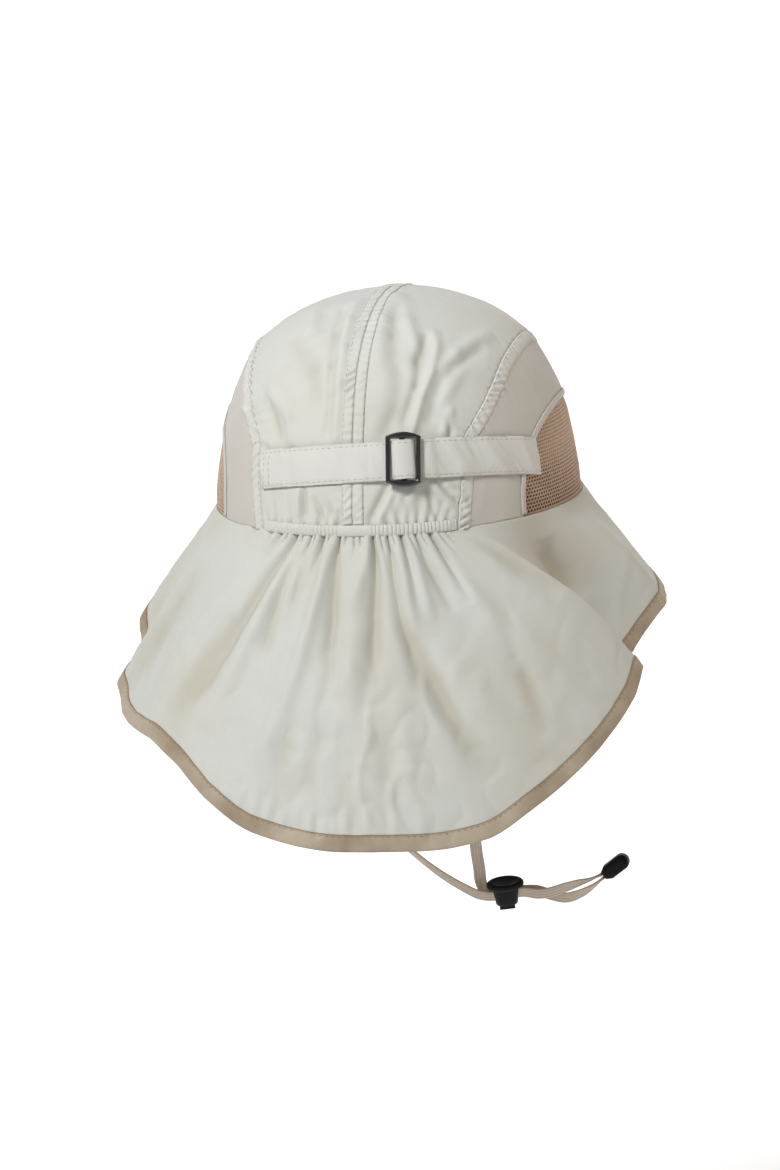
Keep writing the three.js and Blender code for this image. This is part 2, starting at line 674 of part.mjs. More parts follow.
// A point in the buckle's own flat frame
function bucklePoint(along, up, out) {
  return buckleCentre.clone().addScaledVector(buckleFrame.along, along)
    .addScaledVector(buckleFrame.up, up).addScaledVector(buckleFrame.out, out);
}

function ribbon(path, width, thickness) {
  const half = thickness / 2;
  const sides = [-0.5, -1 / 6, 1 / 6, 0.5];
  const outline = [
    ...sides.map((share) => new THREE.Vector2(share * width, -half)),
    ...[...sides].reverse().map((share) => new THREE.Vector2(share * width, half)),
  ];
  const rings = path.map(([along, lift], i) => {
    const before = path[Math.max(i - 1, 0)];
    const after = path[Math.min(i + 1, path.length - 1)];
    const length = Math.hypot(after[0] - before[0], after[1] - before[1]);
    const lean = (after[1] - before[1]) / length;
    const run = (after[0] - before[0]) / length;
    return outline.map((corner) => {
      const place = along - lean * corner.y;
      const angle = buckleAngle + place / perDegree;
      const sag = ((angle - strapMiddleAngle) / (strapEndAngle - strapMiddleAngle)) ** 2;
      const height = (strapHeightShare - strapSagShare * sag) * crownHeight;
      const sweep = sweepAtHeight(height) + corner.x / meridianLength;
      const rise = lift + run * corner.y;
      const point = crownPoint(angle, sweep, rise);
      const flatness = THREE.MathUtils.clamp(flatReach - Math.abs(along) / sideMiddle, 0, 1);
      return point.lerp(bucklePoint(place, corner.x, rise), flatness);
    });
  });
  return ringBody(rings, outline);
}

const barHalf = buckleBarWidth / 2;
const tabLift = layerGap + tabThickness / 2;
const tabFoldLift = tabLift + tabThickness + layerGap;
const strapLift = layerGap * 2 + strapThickness / 2;
const strapOverTab = tabLift + tabThickness / 2 + layerGap + strapThickness / 2;
const strapOverFold = tabFoldLift + tabThickness / 2 + layerGap + strapThickness / 2;
const buckleLift = strapOverFold + strapThickness / 2 + layerGap;
const barBottom = tabFoldLift + tabThickness + layerGap * 1.5;
const barTop = barBottom + buckleBarThickness;
const loopReach = layerGap + tabThickness / 2;
const loopTop = barTop + loopReach;
const strapTop = loopTop + tabThickness / 2 + layerGap + strapThickness / 2;
const barMiddle = (barBottom + barTop) / 2;
const sideInner = buckleWidth / 2 - buckleSide;
const channel = (sideInner + barHalf) / 2;

function addStrap() {
  const start = (strapStartAngle - buckleAngle) * perDegree;
  const end = (strapEndAngle - buckleAngle) * perDegree;
  const tabEnd = (tabEndAngle - buckleAngle) * perDegree;
  const path = [];
  const leftSteps = 9;
  for (let i = 0; i <= leftSteps; i += 1) {
    path.push([start + ((strapRiseFrom - start) * i) / leftSteps, strapLift]);
  }
  path.push([-sideMiddle - bendEase * 4, strapLift * 1.6]);
  path.push([-sideInner + bendEase, strapLift * 2.4], [-channel - bendEase * 2, barMiddle + bendEase]);
  path.push([-channel + bendEase * 2, loopTop], [-barHalf, strapTop - bendEase], [0, strapTop]);
  path.push([barHalf, strapTop - bendEase], [channel - bendEase * 2, loopTop]);
  path.push([channel + bendEase * 2, barMiddle + bendEase * 2]);
  path.push([sideInner - bendEase, strapOverFold + bendEase]);
  path.push([sideMiddle + bendEase * 2, strapOverFold], [tabFoldLength + 1, strapOverFold]);
  path.push([tabFoldLength + strapSettle, strapOverTab], [tabEnd, strapOverTab]);
  const settled = tabEnd + strapSettle;
  path.push([settled, strapLift]);
  const rightSteps = 6;
  for (let i = 1; i <= rightSteps; i += 1) {
    path.push([settled + ((end - settled) * i) / rightSteps, strapLift]);
  }
  addPiece('back_strap', ribbon(path, strapWidth, strapThickness), strapMaterial);
}
addStrap();

function addTab() {
  const end = (tabEndAngle - buckleAngle) * perDegree;
  const path = [
    [end, tabLift], [(end + 6) / 2, tabLift], [6, tabLift], [3.4, tabLift + 0.5],
    [1.2, barBottom - loopReach - 0.2], [-0.6, barBottom - loopReach],
    [-barHalf - loopReach * 0.8, barBottom - loopReach * 0.5],
    [-barHalf - loopReach, barMiddle], [-barHalf - loopReach * 0.5, loopTop - 0.35],
    [0, loopTop], [barHalf + loopReach * 0.5, loopTop - 0.35],
    [barHalf + loopReach + 0.1, barMiddle], [3.2, barBottom - 0.1],
    [5, tabFoldLift + 0.3], [7, tabFoldLift], [tabFoldLength, tabFoldLift],
  ];
  addPiece('buckle_tab', ribbon(path, strapWidth, tabThickness), strapMaterial);
}
addTab();

function addBuckle() {
  const opening = strapWidth + strapEdgeClearance * 2;
  const halfWidth = buckleWidth / 2 - buckleBevel;
  const railEdge = opening / 2 + buckleRail - buckleBevel;
  const sideEdge = railEdge - buckleRailArch;
  const frame = new THREE.Shape();
  frame.moveTo(-halfWidth, -sideEdge);
  frame.quadraticCurveTo(0, -railEdge - buckleRailArch, halfWidth, -sideEdge);
  frame.lineTo(halfWidth, sideEdge);
  frame.quadraticCurveTo(0, railEdge + buckleRailArch, -halfWidth, sideEdge);
  const holeHalf = sideInner + buckleBevel;
  const holeEdge = opening / 2 + buckleBevel;
  const hole = new THREE.Path();
  hole.moveTo(-holeHalf, -holeEdge);
  hole.lineTo(-holeHalf, holeEdge);
  hole.lineTo(holeHalf, holeEdge);
  hole.lineTo(holeHalf, -holeEdge);
  frame.holes.push(hole);
  const frameBody = new THREE.ExtrudeGeometry(frame, {
    depth: buckleThickness - buckleBevel * 2,
    bevelThickness: buckleBevel,
    bevelSize: buckleBevel,
    bevelSegments: 1,
    curveSegments: 7,
  }).translate(0, 0, buckleLift + buckleBevel);
  const barLength = opening + buckleRail * 0.9;
  const bar = new THREE.BoxGeometry(buckleBarWidth, barLength, buckleBarThickness);
  bar.translate(0, 0, barMiddle);
  const buckle = new THREE.Group();
  const { along, up, out } = buckleFrame;
  buckle.quaternion.setFromRotationMatrix(new THREE.Matrix4().makeBasis(along, up, out));
  buckle.position.copy(buckleCentre);
  hat.add(buckle);
  const solid = solidFrom(frameBody).add(solidFrom(bar));
  addPiece('slide_buckle', geometryFrom(solid), plasticMaterial, buckle);
}
addBuckle();

// Chin cord, its lock and its end

// A curve whose flat side is turned round it by the last number of each row
class FlatCurve extends THREE.CatmullRomCurve3 {
  constructor(rows) {
    super(rows.map(([x, y, z]) => new THREE.Vector3(x, y, z)), false, 'centripetal');
    this.turns = rows.map((row) => row[3]);
  }

  computeFrenetFrames(segments) {
    const frames = { tangents: [], normals: [], binormals: [] };
    const places = this.turns.map((_, i) => i);
    for (let i = 0; i <= segments; i += 1) {
      const u = this.getUtoTmapping(i / segments);
      const tangent = this.getTangentAt(i / segments);
      const turn = radians(smooth(places, this.turns, u * (places.length - 1)));
      const wide = new THREE.Vector3(0, 1, 0).addScaledVector(tangent, -tangent.y).normalize();
      wide.applyAxisAngle(tangent, turn);
      frames.tangents.push(tangent);
      frames.normals.push(wide);
      frames.binormals.push(new THREE.Vector3().crossVectors(tangent, wide));
    }
    return frames;
  }
}

function addCord(name, route) {
  const wide = cordWidth / 2;
  const thin = cordThickness / 2;
  const shape = new THREE.Shape([
    [wide, thin * 0.4], [wide * 0.86, thin], [-wide * 0.86, thin], [-wide, thin * 0.4],
    [-wide, -thin * 0.4], [-wide * 0.86, -thin], [wide * 0.86, -thin], [wide, -thin * 0.4],
  ].map(([x, y]) => new THREE.Vector2(x, y)));
  const body = new THREE.ExtrudeGeometry(shape, {
    steps: cordSteps,
    extrudePath: new FlatCurve(route),
  });
  addPiece(name, body, cordMaterial);
}
addCord('chin_cord_left', leftRoute);
addCord('chin_cord_right', rightRoute);

const lock = new THREE.Group();
lock.position.set(...lockPlace);
lock.rotation.set(radians(lockTilt), radians(lockLean), radians(lockTurn), 'ZYX');
hat.add(lock);

function ovalPost(width, depth, bottom, top, taper, sides) {
  const post = new THREE.CylinderGeometry(width / 2, (width / 2) * taper, top - bottom, sides);
  return post.rotateX(Math.PI / 2).scale(1, depth / width, 1).translate(0, 0, (top + bottom) / 2);
}

function boxBetween(width, depth, bottom, top) {
  return new THREE.BoxGeometry(width, depth, top - bottom).translate(0, 0, (top + bottom) / 2);
}

function addLock() {
  const bodyTop = lockSlotHeight / 2 + lockWall;
  const bodyBottom = bodyTop - lockBodyHeight - lockWall;
  const headTop = bodyTop + lockHeadThickness;
  const head = ovalPost(lockHeadWidth, lockHeadDepth, bodyTop - lockHeadSink, headTop, 0.9, 24);
  const body = ovalPost(lockBodyWidth, lockBodyDepth, bodyBottom, bodyTop, lockBodyTaper, 20);
  const slot = new THREE.BoxGeometry(lockHeadWidth, lockSlotDepth, lockSlotHeight);
  const cavityDepth = lockBodyDepth * lockBodyTaper - lockWall * 2;
  const cavity = boxBetween(buttonWidth, cavityDepth, bodyBottom - 1, lockSlotHeight / 2);
  const barrel = solidFrom(head).add(solidFrom(body)).subtract(solidFrom(slot))
    .subtract(solidFrom(cavity));
  addPiece('cord_lock_barrel', geometryFrom(barrel), plasticMaterial, lock);

  // The button's foot stands out below the barrel, and its two prongs pass beside the cords.
  const footTop = -lockSlotHeight / 2 - buttonTravel - buttonClearance;
  const footBottom = Math.min(bodyBottom - buttonStandOut, footTop - lockWall * 2);
  const wide = buttonWidth - buttonClearance * 2;
  const deep = cavityDepth - buttonClearance * 2;
  const prongTop = footTop + lockSlotHeight * 0.7;
  const foot = boxBetween(wide, deep, footBottom, prongTop);
  const fork = boxBetween(wide * 2, lockSlotDepth, footTop, prongTop + 1);
  const button = solidFrom(foot).subtract(solidFrom(fork));
  addPiece('cord_lock_button', geometryFrom(button), plasticMaterial, lock);
}
addLock();

function addCordEnd() {
  const wide = cordEndWidth / 2;
  const shape = new THREE.Shape();
  shape.moveTo(0, -wide * 0.55);
  shape.lineTo(cordEndLength * 0.2, -wide);
  shape.lineTo(cordEndLength - wide, -wide);
  shape.absarc(cordEndLength - wide, 0, wide, -Math.PI / 2, Math.PI / 2, false);
  shape.lineTo(cordEndLength * 0.2, wide);
  shape.lineTo(0, wide * 0.55);
  const bevel = cordEndThickness * 0.25;
  const body = new THREE.ExtrudeGeometry(shape, {
    depth: cordEndThickness - bevel * 2,
    bevelThickness: bevel,
    bevelSize: bevel,
    bevelOffset: -bevel,
    bevelSegments: 1,
    curveSegments: 8,
  }).translate(0, 0, -cordEndThickness / 2 + bevel);
  const end = new THREE.Group();
  end.position.set(...cordEndPlace);
  end.rotation.set(Math.PI / 2, -radians(cordEndRise), radians(180 + cordEndTurn), 'ZYX');
  hat.add(end);
  addPiece('cord_end', body, plasticMaterial, end);
}
addCordEnd();

export default hat;
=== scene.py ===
# Sun hat with a neck flap, seen from behind. Metres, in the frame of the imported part.
# Angles are in degrees round Z: 0 at the back of the head, growing towards the wearer's right.
import math
import bpy
import numpy as np
from mathutils import Matrix, Vector, noise


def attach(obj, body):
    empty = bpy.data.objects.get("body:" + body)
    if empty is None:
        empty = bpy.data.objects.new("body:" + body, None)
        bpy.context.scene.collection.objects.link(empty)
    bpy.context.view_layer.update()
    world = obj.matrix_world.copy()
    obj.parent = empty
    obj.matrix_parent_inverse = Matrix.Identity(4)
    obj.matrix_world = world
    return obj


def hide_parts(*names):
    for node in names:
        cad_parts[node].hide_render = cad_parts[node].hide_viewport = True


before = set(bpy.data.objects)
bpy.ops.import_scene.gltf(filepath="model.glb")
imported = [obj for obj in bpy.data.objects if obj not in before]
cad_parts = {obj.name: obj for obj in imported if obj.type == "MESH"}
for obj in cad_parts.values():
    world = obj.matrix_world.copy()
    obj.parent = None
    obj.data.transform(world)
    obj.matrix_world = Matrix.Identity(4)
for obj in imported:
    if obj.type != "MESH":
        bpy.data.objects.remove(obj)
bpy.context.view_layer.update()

mm = 0.001
print("frame loaded")


# Small maths

def unit(vectors):
    return vectors / np.maximum(np.linalg.norm(vectors, axis=-1, keepdims=True), 1e-12)


def smooth(xs, ys, x):
    # a curve through table rows that never overshoots them
    xs, ys, x = np.asarray(xs, float), np.asarray(ys, float), np.asarray(x, float)
    width = np.diff(xs)
    slope = np.diff(ys) / width
    product = slope[:-1] * slope[1:]
    total = slope[:-1] + slope[1:]
    inner = np.where(product > 0, 2 * product / np.where(total == 0, 1, total), 0)
    lean = np.concatenate([slope[:1], inner, slope[-1:]])
    i = np.clip(np.searchsorted(xs, x, side="left") - 1, 0, len(xs) - 2)
    t = np.clip((x - xs[i]) / width[i], 0, 1)
    value = ys[i] * (2 * t**3 - 3 * t**2 + 1) + ys[i + 1] * (3 * t**2 - 2 * t**3)
    tilt = lean[i] * (t**3 - 2 * t**2 + t) + lean[i + 1] * (t**3 - t**2)
    return value + tilt * width[i]


def bump(distance, halfWidth):
    return np.exp(-(distance / halfWidth) ** 2)


def rise(low, high, x):
    t = np.clip((x - low) / (high - low), 0, 1)
    return t * t * (3 - 2 * t)


def within(start, end, fade, x):
    # 1 from start to end, falling to 0 over the fade on both sides
    return rise(start - fade, start, x) * rise(-end - fade, -end, -x)


def cloud(points, size, seed=0.0):
    # smooth noise from about -1 to 1 with features of about that size
    scaled = np.reshape(points / size + seed, (-1, 3))
    values = np.fromiter((noise.noise(p) for p in scaled.tolist()), float, len(scaled))
    return values.reshape(np.shape(points)[:-1])


def alongLine(points):
    steps = np.linalg.norm(np.diff(points, axis=0), axis=1)
    return np.concatenate([[0], np.cumsum(steps)])


def valuesAt(places, way, rows):
    # the rows' values, read off at places along a way
    return np.stack([np.interp(places, way, column) for column in np.transpose(rows)], -1)


def resample(points, count):
    way = alongLine(points)
    return valuesAt(np.linspace(0, way[-1], count), way, points)


def paired(across, along):
    # both measures of each place on a piece, which its weave follows
    return np.stack(np.broadcast_arrays(across, along), -1)


square = np.array([(-1, -1), (1, -1), (1, 1), (-1, 1)], float)


# Shader wiring

class Wire:
    def __init__(self, finish, socket):
        self.finish = finish
        self.socket = socket

    def calc(self, operation, *values):
        return self.finish.node("ShaderNodeMath", {"operation": operation}, values)

    def __add__(self, other):
        return self.calc("ADD", self, other)

    def __sub__(self, other):
        return self.calc("SUBTRACT", self, other)

    def __rsub__(self, other):
        return self.calc("SUBTRACT", other, self)

    def __mul__(self, other):
        return self.calc("MULTIPLY", self, other)

    def __pow__(self, other):
        return self.calc("POWER", self, other)

    __radd__ = __add__
    __rmul__ = __mul__


class Finish:
    def __init__(self, name, slot, **fixed):
        self.slot = slot
        self.material = bpy.data.materials.new(name)
        self.material.use_nodes = True
        self.tree = self.material.node_tree
        self.surface = self.tree.nodes["Principled BSDF"]
        for socket, value in fixed.items():
            self.surface.inputs[socket.replace("_", " ")].default_value = value

    def node(self, kind, settings=None, inputs=(), output=0):
        made = self.tree.nodes.new(kind)
        for name, value in (settings or {}).items():
            if name == "stops":
                for stop in value[2:]:
                    made.color_ramp.elements.new(stop[0])
                for element, (place, colour) in zip(made.color_ramp.elements, value):
                    element.position = place
                    element.color = colour
            else:
                setattr(made, name, value)
        pairs = inputs.items() if isinstance(inputs, dict) else enumerate(inputs)
        for key, value in pairs:
            if isinstance(value, Wire):
                self.tree.links.new(value.socket, made.inputs[key])
            else:
                made.inputs[key].default_value = value
        return Wire(self, made.outputs[output])

    def blendColours(self, factor, first, second):
        return self.node("ShaderNodeMix", {"data_type": "RGBA"}, {0: factor, 6: first, 7: second}, 2)

    def feed(self, socket, wire):
        self.tree.links.new(wire.socket, self.surface.inputs[socket])

    def place(self):
        return self.node("ShaderNodeTexCoord", output=3)

    def cloudy(self, scale, detail=2.0, rough=0.5, vector=None):
        where = vector or self.place()
        values = {"Vector": where, "Scale": scale, "Detail": detail, "Roughness": rough}
        return self.node("ShaderNodeTexNoise", {}, values)

    def bumpy(self, height, strength, distance):
        values = {"Strength": strength, "Distance": distance, "Height": height}
        self.feed("Normal", self.node("ShaderNodeBump", {}, values))


def linear(red, green, blue):
    # a colour as it looks on screen, turned into light
    channels = [c / 255 for c in (red, green, blue)]
    return tuple([c / 12.92 if c < 0.04 else ((c + 0.055) / 1.055) ** 2.4 for c in channels] + [1.0])


def meshPiece(name, points, faces, finish, uv=None, thickness=0.0, flat=False, hollow=None):
    points = np.reshape(points, (-1, 3))
    mesh = bpy.data.meshes.new(name)
    mesh.from_pydata(points.tolist(), [], faces if isinstance(faces, list) else faces.tolist())
    if uv is not None:
        loops = np.empty(len(mesh.loops), np.int32)
        mesh.loops.foreach_get("vertex_index", loops)
        layer = mesh.uv_layers.new(name="cloth")
        layer.data.foreach_set("uv", np.reshape(uv, (-1, 2))[loops].astype(np.float32).ravel())
    if hollow is not None:
        # painted shade: how deep each place lies in a fold, for the darker, warmer shade painted there
        depth = mesh.attributes.new("hollow", "FLOAT", "POINT")
        depth.data.foreach_set("value", np.ravel(hollow).astype(np.float32))
    mesh.polygons.foreach_set("use_smooth", [not flat] * len(mesh.polygons))
    mesh.materials.append(finish.material)
    piece = bpy.data.objects.new(name, mesh)
    bpy.context.scene.collection.objects.link(piece)
    if thickness:
        shell = piece.modifiers.new("wall", "SOLIDIFY")
        shell.thickness = thickness
        shell.offset = -1
    return piece


def loopFaces(rows, count):
    # rings of points joined one to the next, closed at both ends
    ends = [list(range(count))[::-1], [(rows - 1) * count + k for k in range(count)]]
    return gridFaces(rows, count, closedAcross=True).tolist() + ends


def loopedPiece(name, rings, finish, uv=None, hollow=None):
    return meshPiece(name, rings, loopFaces(*rings.shape[:2]), finish, uv, hollow=hollow)


def settle(piece, finish, *nodes, body="hat"):
    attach(piece, body)
    if nodes:
        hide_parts(*nodes)
    return piece


def gridFaces(rows, columns, closedAcross=False):
    # rows of vertices, each holding that many columns
    first = np.arange(rows - 1)[:, None] * columns
    k = np.arange(columns if closedAcross else columns - 1)[None, :]
    second, side = first + columns, (k + 1) % columns
    return np.stack([first + k, first + side, second + side, second + k], -1).reshape(-1, 4)


# Camera, floor and lights

view = {
    "azimuth": 193.0, "elevation": 12.0, "roll": 2.8, "distance": 1.8, "farthest": 60,
    "lens": 110.8, "sensor": 36.0, "aimRight": -5 * mm, "aimUp": -45 * mm,
}
azimuth, elevation, roll = (math.radians(view[k]) for k in ("azimuth", "elevation", "roll"))
back = Vector((math.sin(azimuth) * math.cos(elevation), -math.cos(azimuth) * math.cos(elevation),
               math.sin(elevation)))
level = Vector((0, 0, 1)).cross(back).normalized()
upright = back.cross(level)
right = level * math.cos(roll) - upright * math.sin(roll)
up = level * math.sin(roll) + upright * math.cos(roll)


def makeCamera():
    data = bpy.data.cameras.new("camera")
    data.lens, data.sensor_width = view["lens"], view["sensor"]
    data.clip_end = view["farthest"]
    camera = bpy.data.objects.new("camera", data)
    place = right * view["aimRight"] + up * view["aimUp"] + back * view["distance"]
    camera.matrix_world = Matrix.Translation(place) @ Matrix((right, up, back)).transposed().to_4x4()
    bpy.context.scene.collection.objects.link(camera)
    bpy.context.scene.camera = camera


makeCamera()

studio = {
    "floorDepth": -0.62, "floorSize": 40.0, "floorColour": (0.93, 0.93, 0.93, 1), "floorGlow": 0.8,
    "floorRoughness": 0.9, "nearFloorGlow": 0.12, "glowFrom": 0.25, "glowTo": 1.2,
    "skyLight": 0.95, "skyDark": 0.27, "skyFrom": -0.92, "skyTo": -0.25, "skyColour": (1.0, 0.995, 0.985, 1),
    # right, up and back of the hat, size, power and colour of each light
    "lights": {
        "key": ((-0.72, 0.9, 1.3), 0.5, 21.0, (1.0, 1.0, 1.0)),
        "top": ((-0.2, 1.6, 0.2), 0.8, 3.0, (1.0, 1.0, 1.0)),
        "warm": ((1.75, 0.1, -0.1), 0.8, 5.0, (1.0, 0.72, 0.4)),
    },
}


def makeStudio():
    corners = np.column_stack([square * studio["floorSize"] / 2, [studio["floorDepth"]] * 4])
    paint = Finish("floor_paint", None, Base_Color=studio["floorColour"], Roughness=studio["floorRoughness"],
                   Emission_Strength=1.0)
    # the floor behind the hat glows white as a backdrop does, and the floor before it hardly does
    where = paint.node("ShaderNodeVectorMath", {"operation": "DOT_PRODUCT"}, [paint.place(), tuple(back)], 1)
    near = paint.node("ShaderNodeMapRange", {"interpolation_type": "SMOOTHSTEP"},
                      {"Value": where, "From Min": -studio["glowTo"], "From Max": -studio["glowFrom"],
                       "To Min": studio["floorGlow"], "To Max": studio["nearFloorGlow"]})
    paint.feed("Emission Color", paint.node("ShaderNodeCombineColor", None, [near, near, near]))
    meshPiece("floor", corners, [[0, 1, 2, 3]], paint)
    world = bpy.data.worlds.new("studio")
    world.use_nodes = True
    sky = world.node_tree.nodes["Background"]
    links = world.node_tree.links
    direction = world.node_tree.nodes.new("ShaderNodeTexCoord")
    facing = world.node_tree.nodes.new("ShaderNodeVectorMath")
    facing.operation = "DOT_PRODUCT"
    facing.inputs[1].default_value = tuple(back)
    shade = world.node_tree.nodes.new("ShaderNodeMapRange")
    shade.interpolation_type = "SMOOTHSTEP"
    ranges = {"From Min": "skyFrom", "From Max": "skyTo", "To Min": "skyLight", "To Max": "skyDark"}
    for socket, key in ranges.items():
        shade.inputs[socket].default_value = studio[key]
    links.new(direction.outputs["Generated"], facing.inputs[0])
    links.new(facing.outputs["Value"], shade.inputs["Value"])
    links.new(shade.outputs["Result"], sky.inputs["Strength"])
    sky.inputs["Color"].default_value = studio["skyColour"]
    bpy.context.scene.world = world
    for name, (where, size, power, colour) in studio["lights"].items():
        data = bpy.data.lights.new(name, "AREA")
        data.shape, data.size, data.energy, data.color = "DISK", size, power, colour
        light = bpy.data.objects.new(name, data)
        light.location = level * where[0] + upright * where[1] + back * where[2]
        light.rotation_euler = light.location.to_track_quat("Z", "Y").to_euler()
        bpy.context.scene.collection.objects.link(light)
    bpy.context.scene.view_settings.view_transform = "Standard"


makeStudio()
print("camera and studio")


# Finishes

cloth = {
    "patchStops": (0.42, 0.72), "slubScale": 420.0, "slubShade": 0.16, "slubTint": (0.72, 0.72, 0.72),
    # painted shade: fold valleys are coloured darker and warmer
    "paintedShadeDepth": 2.2 * mm, "paintedShadePower": 1.2, "paintedShadeStrength": 0.42, "paintedShadeTint": (0.72, 0.66, 0.54),
    "weaveScale": 130.0, "threadHeight": 0.6, "slubHeight": 0.5, "bump": 0.28, "bumpDepth": 0.12 * mm,
    "roughness": 0.56, "roughSpread": 0.12, "specular": 0.28, "sheen": 0.12, "sheenRoughness": 0.4,
}
plastic = {
    "coatRoughness": 0.06, "grainScale": 900.0, "scuffScale": 160.0, "scuffRough": 0.2, "bump": 0.12,
    "bumpDepth": 0.05 * mm, "dark": (0.004, 0.004, 0.0045, 1), "scuffed": (0.01, 0.01, 0.0105, 1),
}


def paintedFoldShade(relief):
    # painted shade: 0 on ridges, 1 in the deepest valleys
    return np.clip(-relief / cloth["paintedShadeDepth"], 0, 1) ** cloth["paintedShadePower"]


def dimmed(colour, shares):
    return tuple(channel * share for channel, share in zip(colour, shares)) + (1,)


def clothFinish(name, slot, base, warm, spots=0.5, patchScale=14.0):
    base, warm = linear(*base), linear(*warm)
    made = Finish(name, slot, Specular_IOR_Level=cloth["specular"], Sheen_Weight=cloth["sheen"],
                  Sheen_Roughness=cloth["sheenRoughness"])
    patches = made.cloudy(patchScale, 3.0, 0.55)
    tint = made.node("ShaderNodeValToRGB", {"stops": list(zip(cloth["patchStops"], (base, warm)))}, [patches])
    slub = made.cloudy(cloth["slubScale"], 2.0, 0.6)
    shaded = made.blendColours(slub * cloth["slubShade"] * spots, tint, dimmed(warm, cloth["slubTint"]))
    # painted shade: the attribute darkens and warms the colour in fold valleys, rib grooves and along the
    # tape's inner edge
    deep = made.node("ShaderNodeAttribute", {"attribute_name": "hollow"}, output=2)
    paintedShadeColour = dimmed(warm, cloth["paintedShadeTint"])
    made.feed("Base Color", made.blendColours(deep * cloth["paintedShadeStrength"], shaded, paintedShadeColour))
    # the threads of both ways of the weave
    weave = {"Vector": made.node("ShaderNodeTexCoord", output=2), "Scale": cloth["weaveScale"]}
    across, along = (made.node("ShaderNodeTexWave", {"bands_direction": way}, weave) for way in ("X", "Y"))
    height = across * along * cloth["threadHeight"] + slub * cloth["slubHeight"]
    made.bumpy(height, cloth["bump"], cloth["bumpDepth"])
    made.feed("Roughness", slub * cloth["roughSpread"] + cloth["roughness"])
    return made


crownCloth = clothFinish("crown_nylon", "crown_cloth", (212, 213, 208), (208, 206, 197))
sideCloth = clothFinish("side_nylon", "side_cloth", (202, 199, 192), (196, 189, 180))
flapCloth = clothFinish("flap_nylon", "crown_cloth", (205, 206, 200), (202, 199, 187))
strapCloth = clothFinish("strap_nylon", "webbing", (216, 216, 211), (212, 210, 204))
tapeCloth = clothFinish("tan_tape", "binding_tape", (186, 172, 152), (146, 128, 107), 1.2, 26.0)
meshCloth = clothFinish("tan_mesh", "mesh", (200, 171, 148), (187, 156, 132), 1.0)
# painted shade: the dark brown sheet seen through the net's holes
shadeBackingCloth = clothFinish("painted_shade_backing", "mesh", (138, 105, 82), (124, 93, 72))
cordElastic = clothFinish("beige_elastic", "cord_elastic", (216, 203, 188), (204, 190, 174), 1.4)
thread = Finish("pale_thread", "crown_cloth", Base_Color=linear(196, 190, 178), Roughness=0.6)
tanThread = Finish("tan_thread", "binding_tape", Base_Color=linear(134, 116, 96), Roughness=0.65)


def plasticFinish(name, shine, dull):
    made = Finish(name, "black_plastic", Specular_IOR_Level=shine, Coat_Weight=shine,
                  Coat_Roughness=plastic["coatRoughness"])
    grain = made.cloudy(plastic["grainScale"], 3.0, 0.6)
    scuffs = made.cloudy(plastic["scuffScale"], 4.0, 0.7)
    made.feed("Base Color", made.blendColours(scuffs, plastic["dark"], plastic["scuffed"]))
    made.feed("Roughness", scuffs * plastic["scuffRough"] + dull)
    made.bumpy(grain, plastic["bump"], plastic["bumpDepth"])
    return made


blackPlastic = plasticFinish("black_plastic", 0.1, 0.3)
glossPlastic = plasticFinish("gloss_plastic", 0.85, 0.02)
print("finishes")


# Chin cord: two halves of one flat ribbed elastic, through the spring lock to the moulded end

cord = {
    "width": 6.5 * mm, "thickness": 1.5 * mm, "ribs": 4, "ribDepth": 0.34 * mm, "ribPower": 0.6,
    "sectionSteps": 33, "edgePower": 6, "stepsPerSpan": 12, "grooveShade": 2.2,
    # x, y, z in millimetres and the turn of the flat side in degrees
    "leftRoute": [
        (87.5, -10, 6, 0), (87.5, -10, 0, 0), (86.8, -10, -10, 0), (84, -10.2, -26, -2),
        (79, -10.6, -46, -5), (72, -11.2, -68, -9), (63.2, -12, -92, -14), (52.8, -13, -117, -19),
        (41, -14, -142, -24), (28, -15, -164, -29), (14.5, -15.6, -182, -35),
        (0.9, -16, -194.8, -42), (-10.4, -16.2, -203.4, -52), (-21.6, -16.2, -210, -60),
        (-27.6, -16.4, -212.8, -64), (-32.8, -17.1, -213.8, -65), (-41.5, -19.2, -213.2, -65),
        (-50.3, -21.2, -212.5, -66), (-57, -21.4, -213.3, -70), (-64, -20.9, -212.4, -70),
        (-72, -20.4, -209.4, -60), (-79.5, -20.2, -206.6, -42), (-85.6, -20.2, -204.6, -20),
        (-91.7, -20.2, -201.8, -3),
    ],
    "rightRoute": [
        (-87.5, -10, 6, 0), (-87.5, -10, 0, 0), (-86.4, -10, -10, 0), (-82.2, -10.4, -28, -4),
        (-74.6, -11, -50, -10), (-65, -12, -74, -18), (-54.8, -13.4, -98, -28),
        (-45, -15, -121, -40), (-36.6, -16.8, -143, -52), (-30, -18.4, -162, -64),
        (-26.6, -19.4, -178, -76), (-26.6, -20.4, -190, -86), (-27.6, -20.9, -200, -88),
        (-28.1, -20.9, -207, -84), (-30.4, -19.6, -211.7, -72), (-34.4, -19.3, -212.9, -65),
        (-41.1, -20.9, -212.4, -65), (-49.8, -22.9, -211.8, -66), (-57, -24.6, -212.4, -72),
        (-64, -24.8, -214.8, -78), (-71.5, -24.2, -216, -70), (-79, -23, -213.4, -54),
        (-85.6, -21.4, -209.2, -28), (-90.2, -20.4, -205.6, -8), (-92.9, -20.2, -203.3, -3),
    ],
}


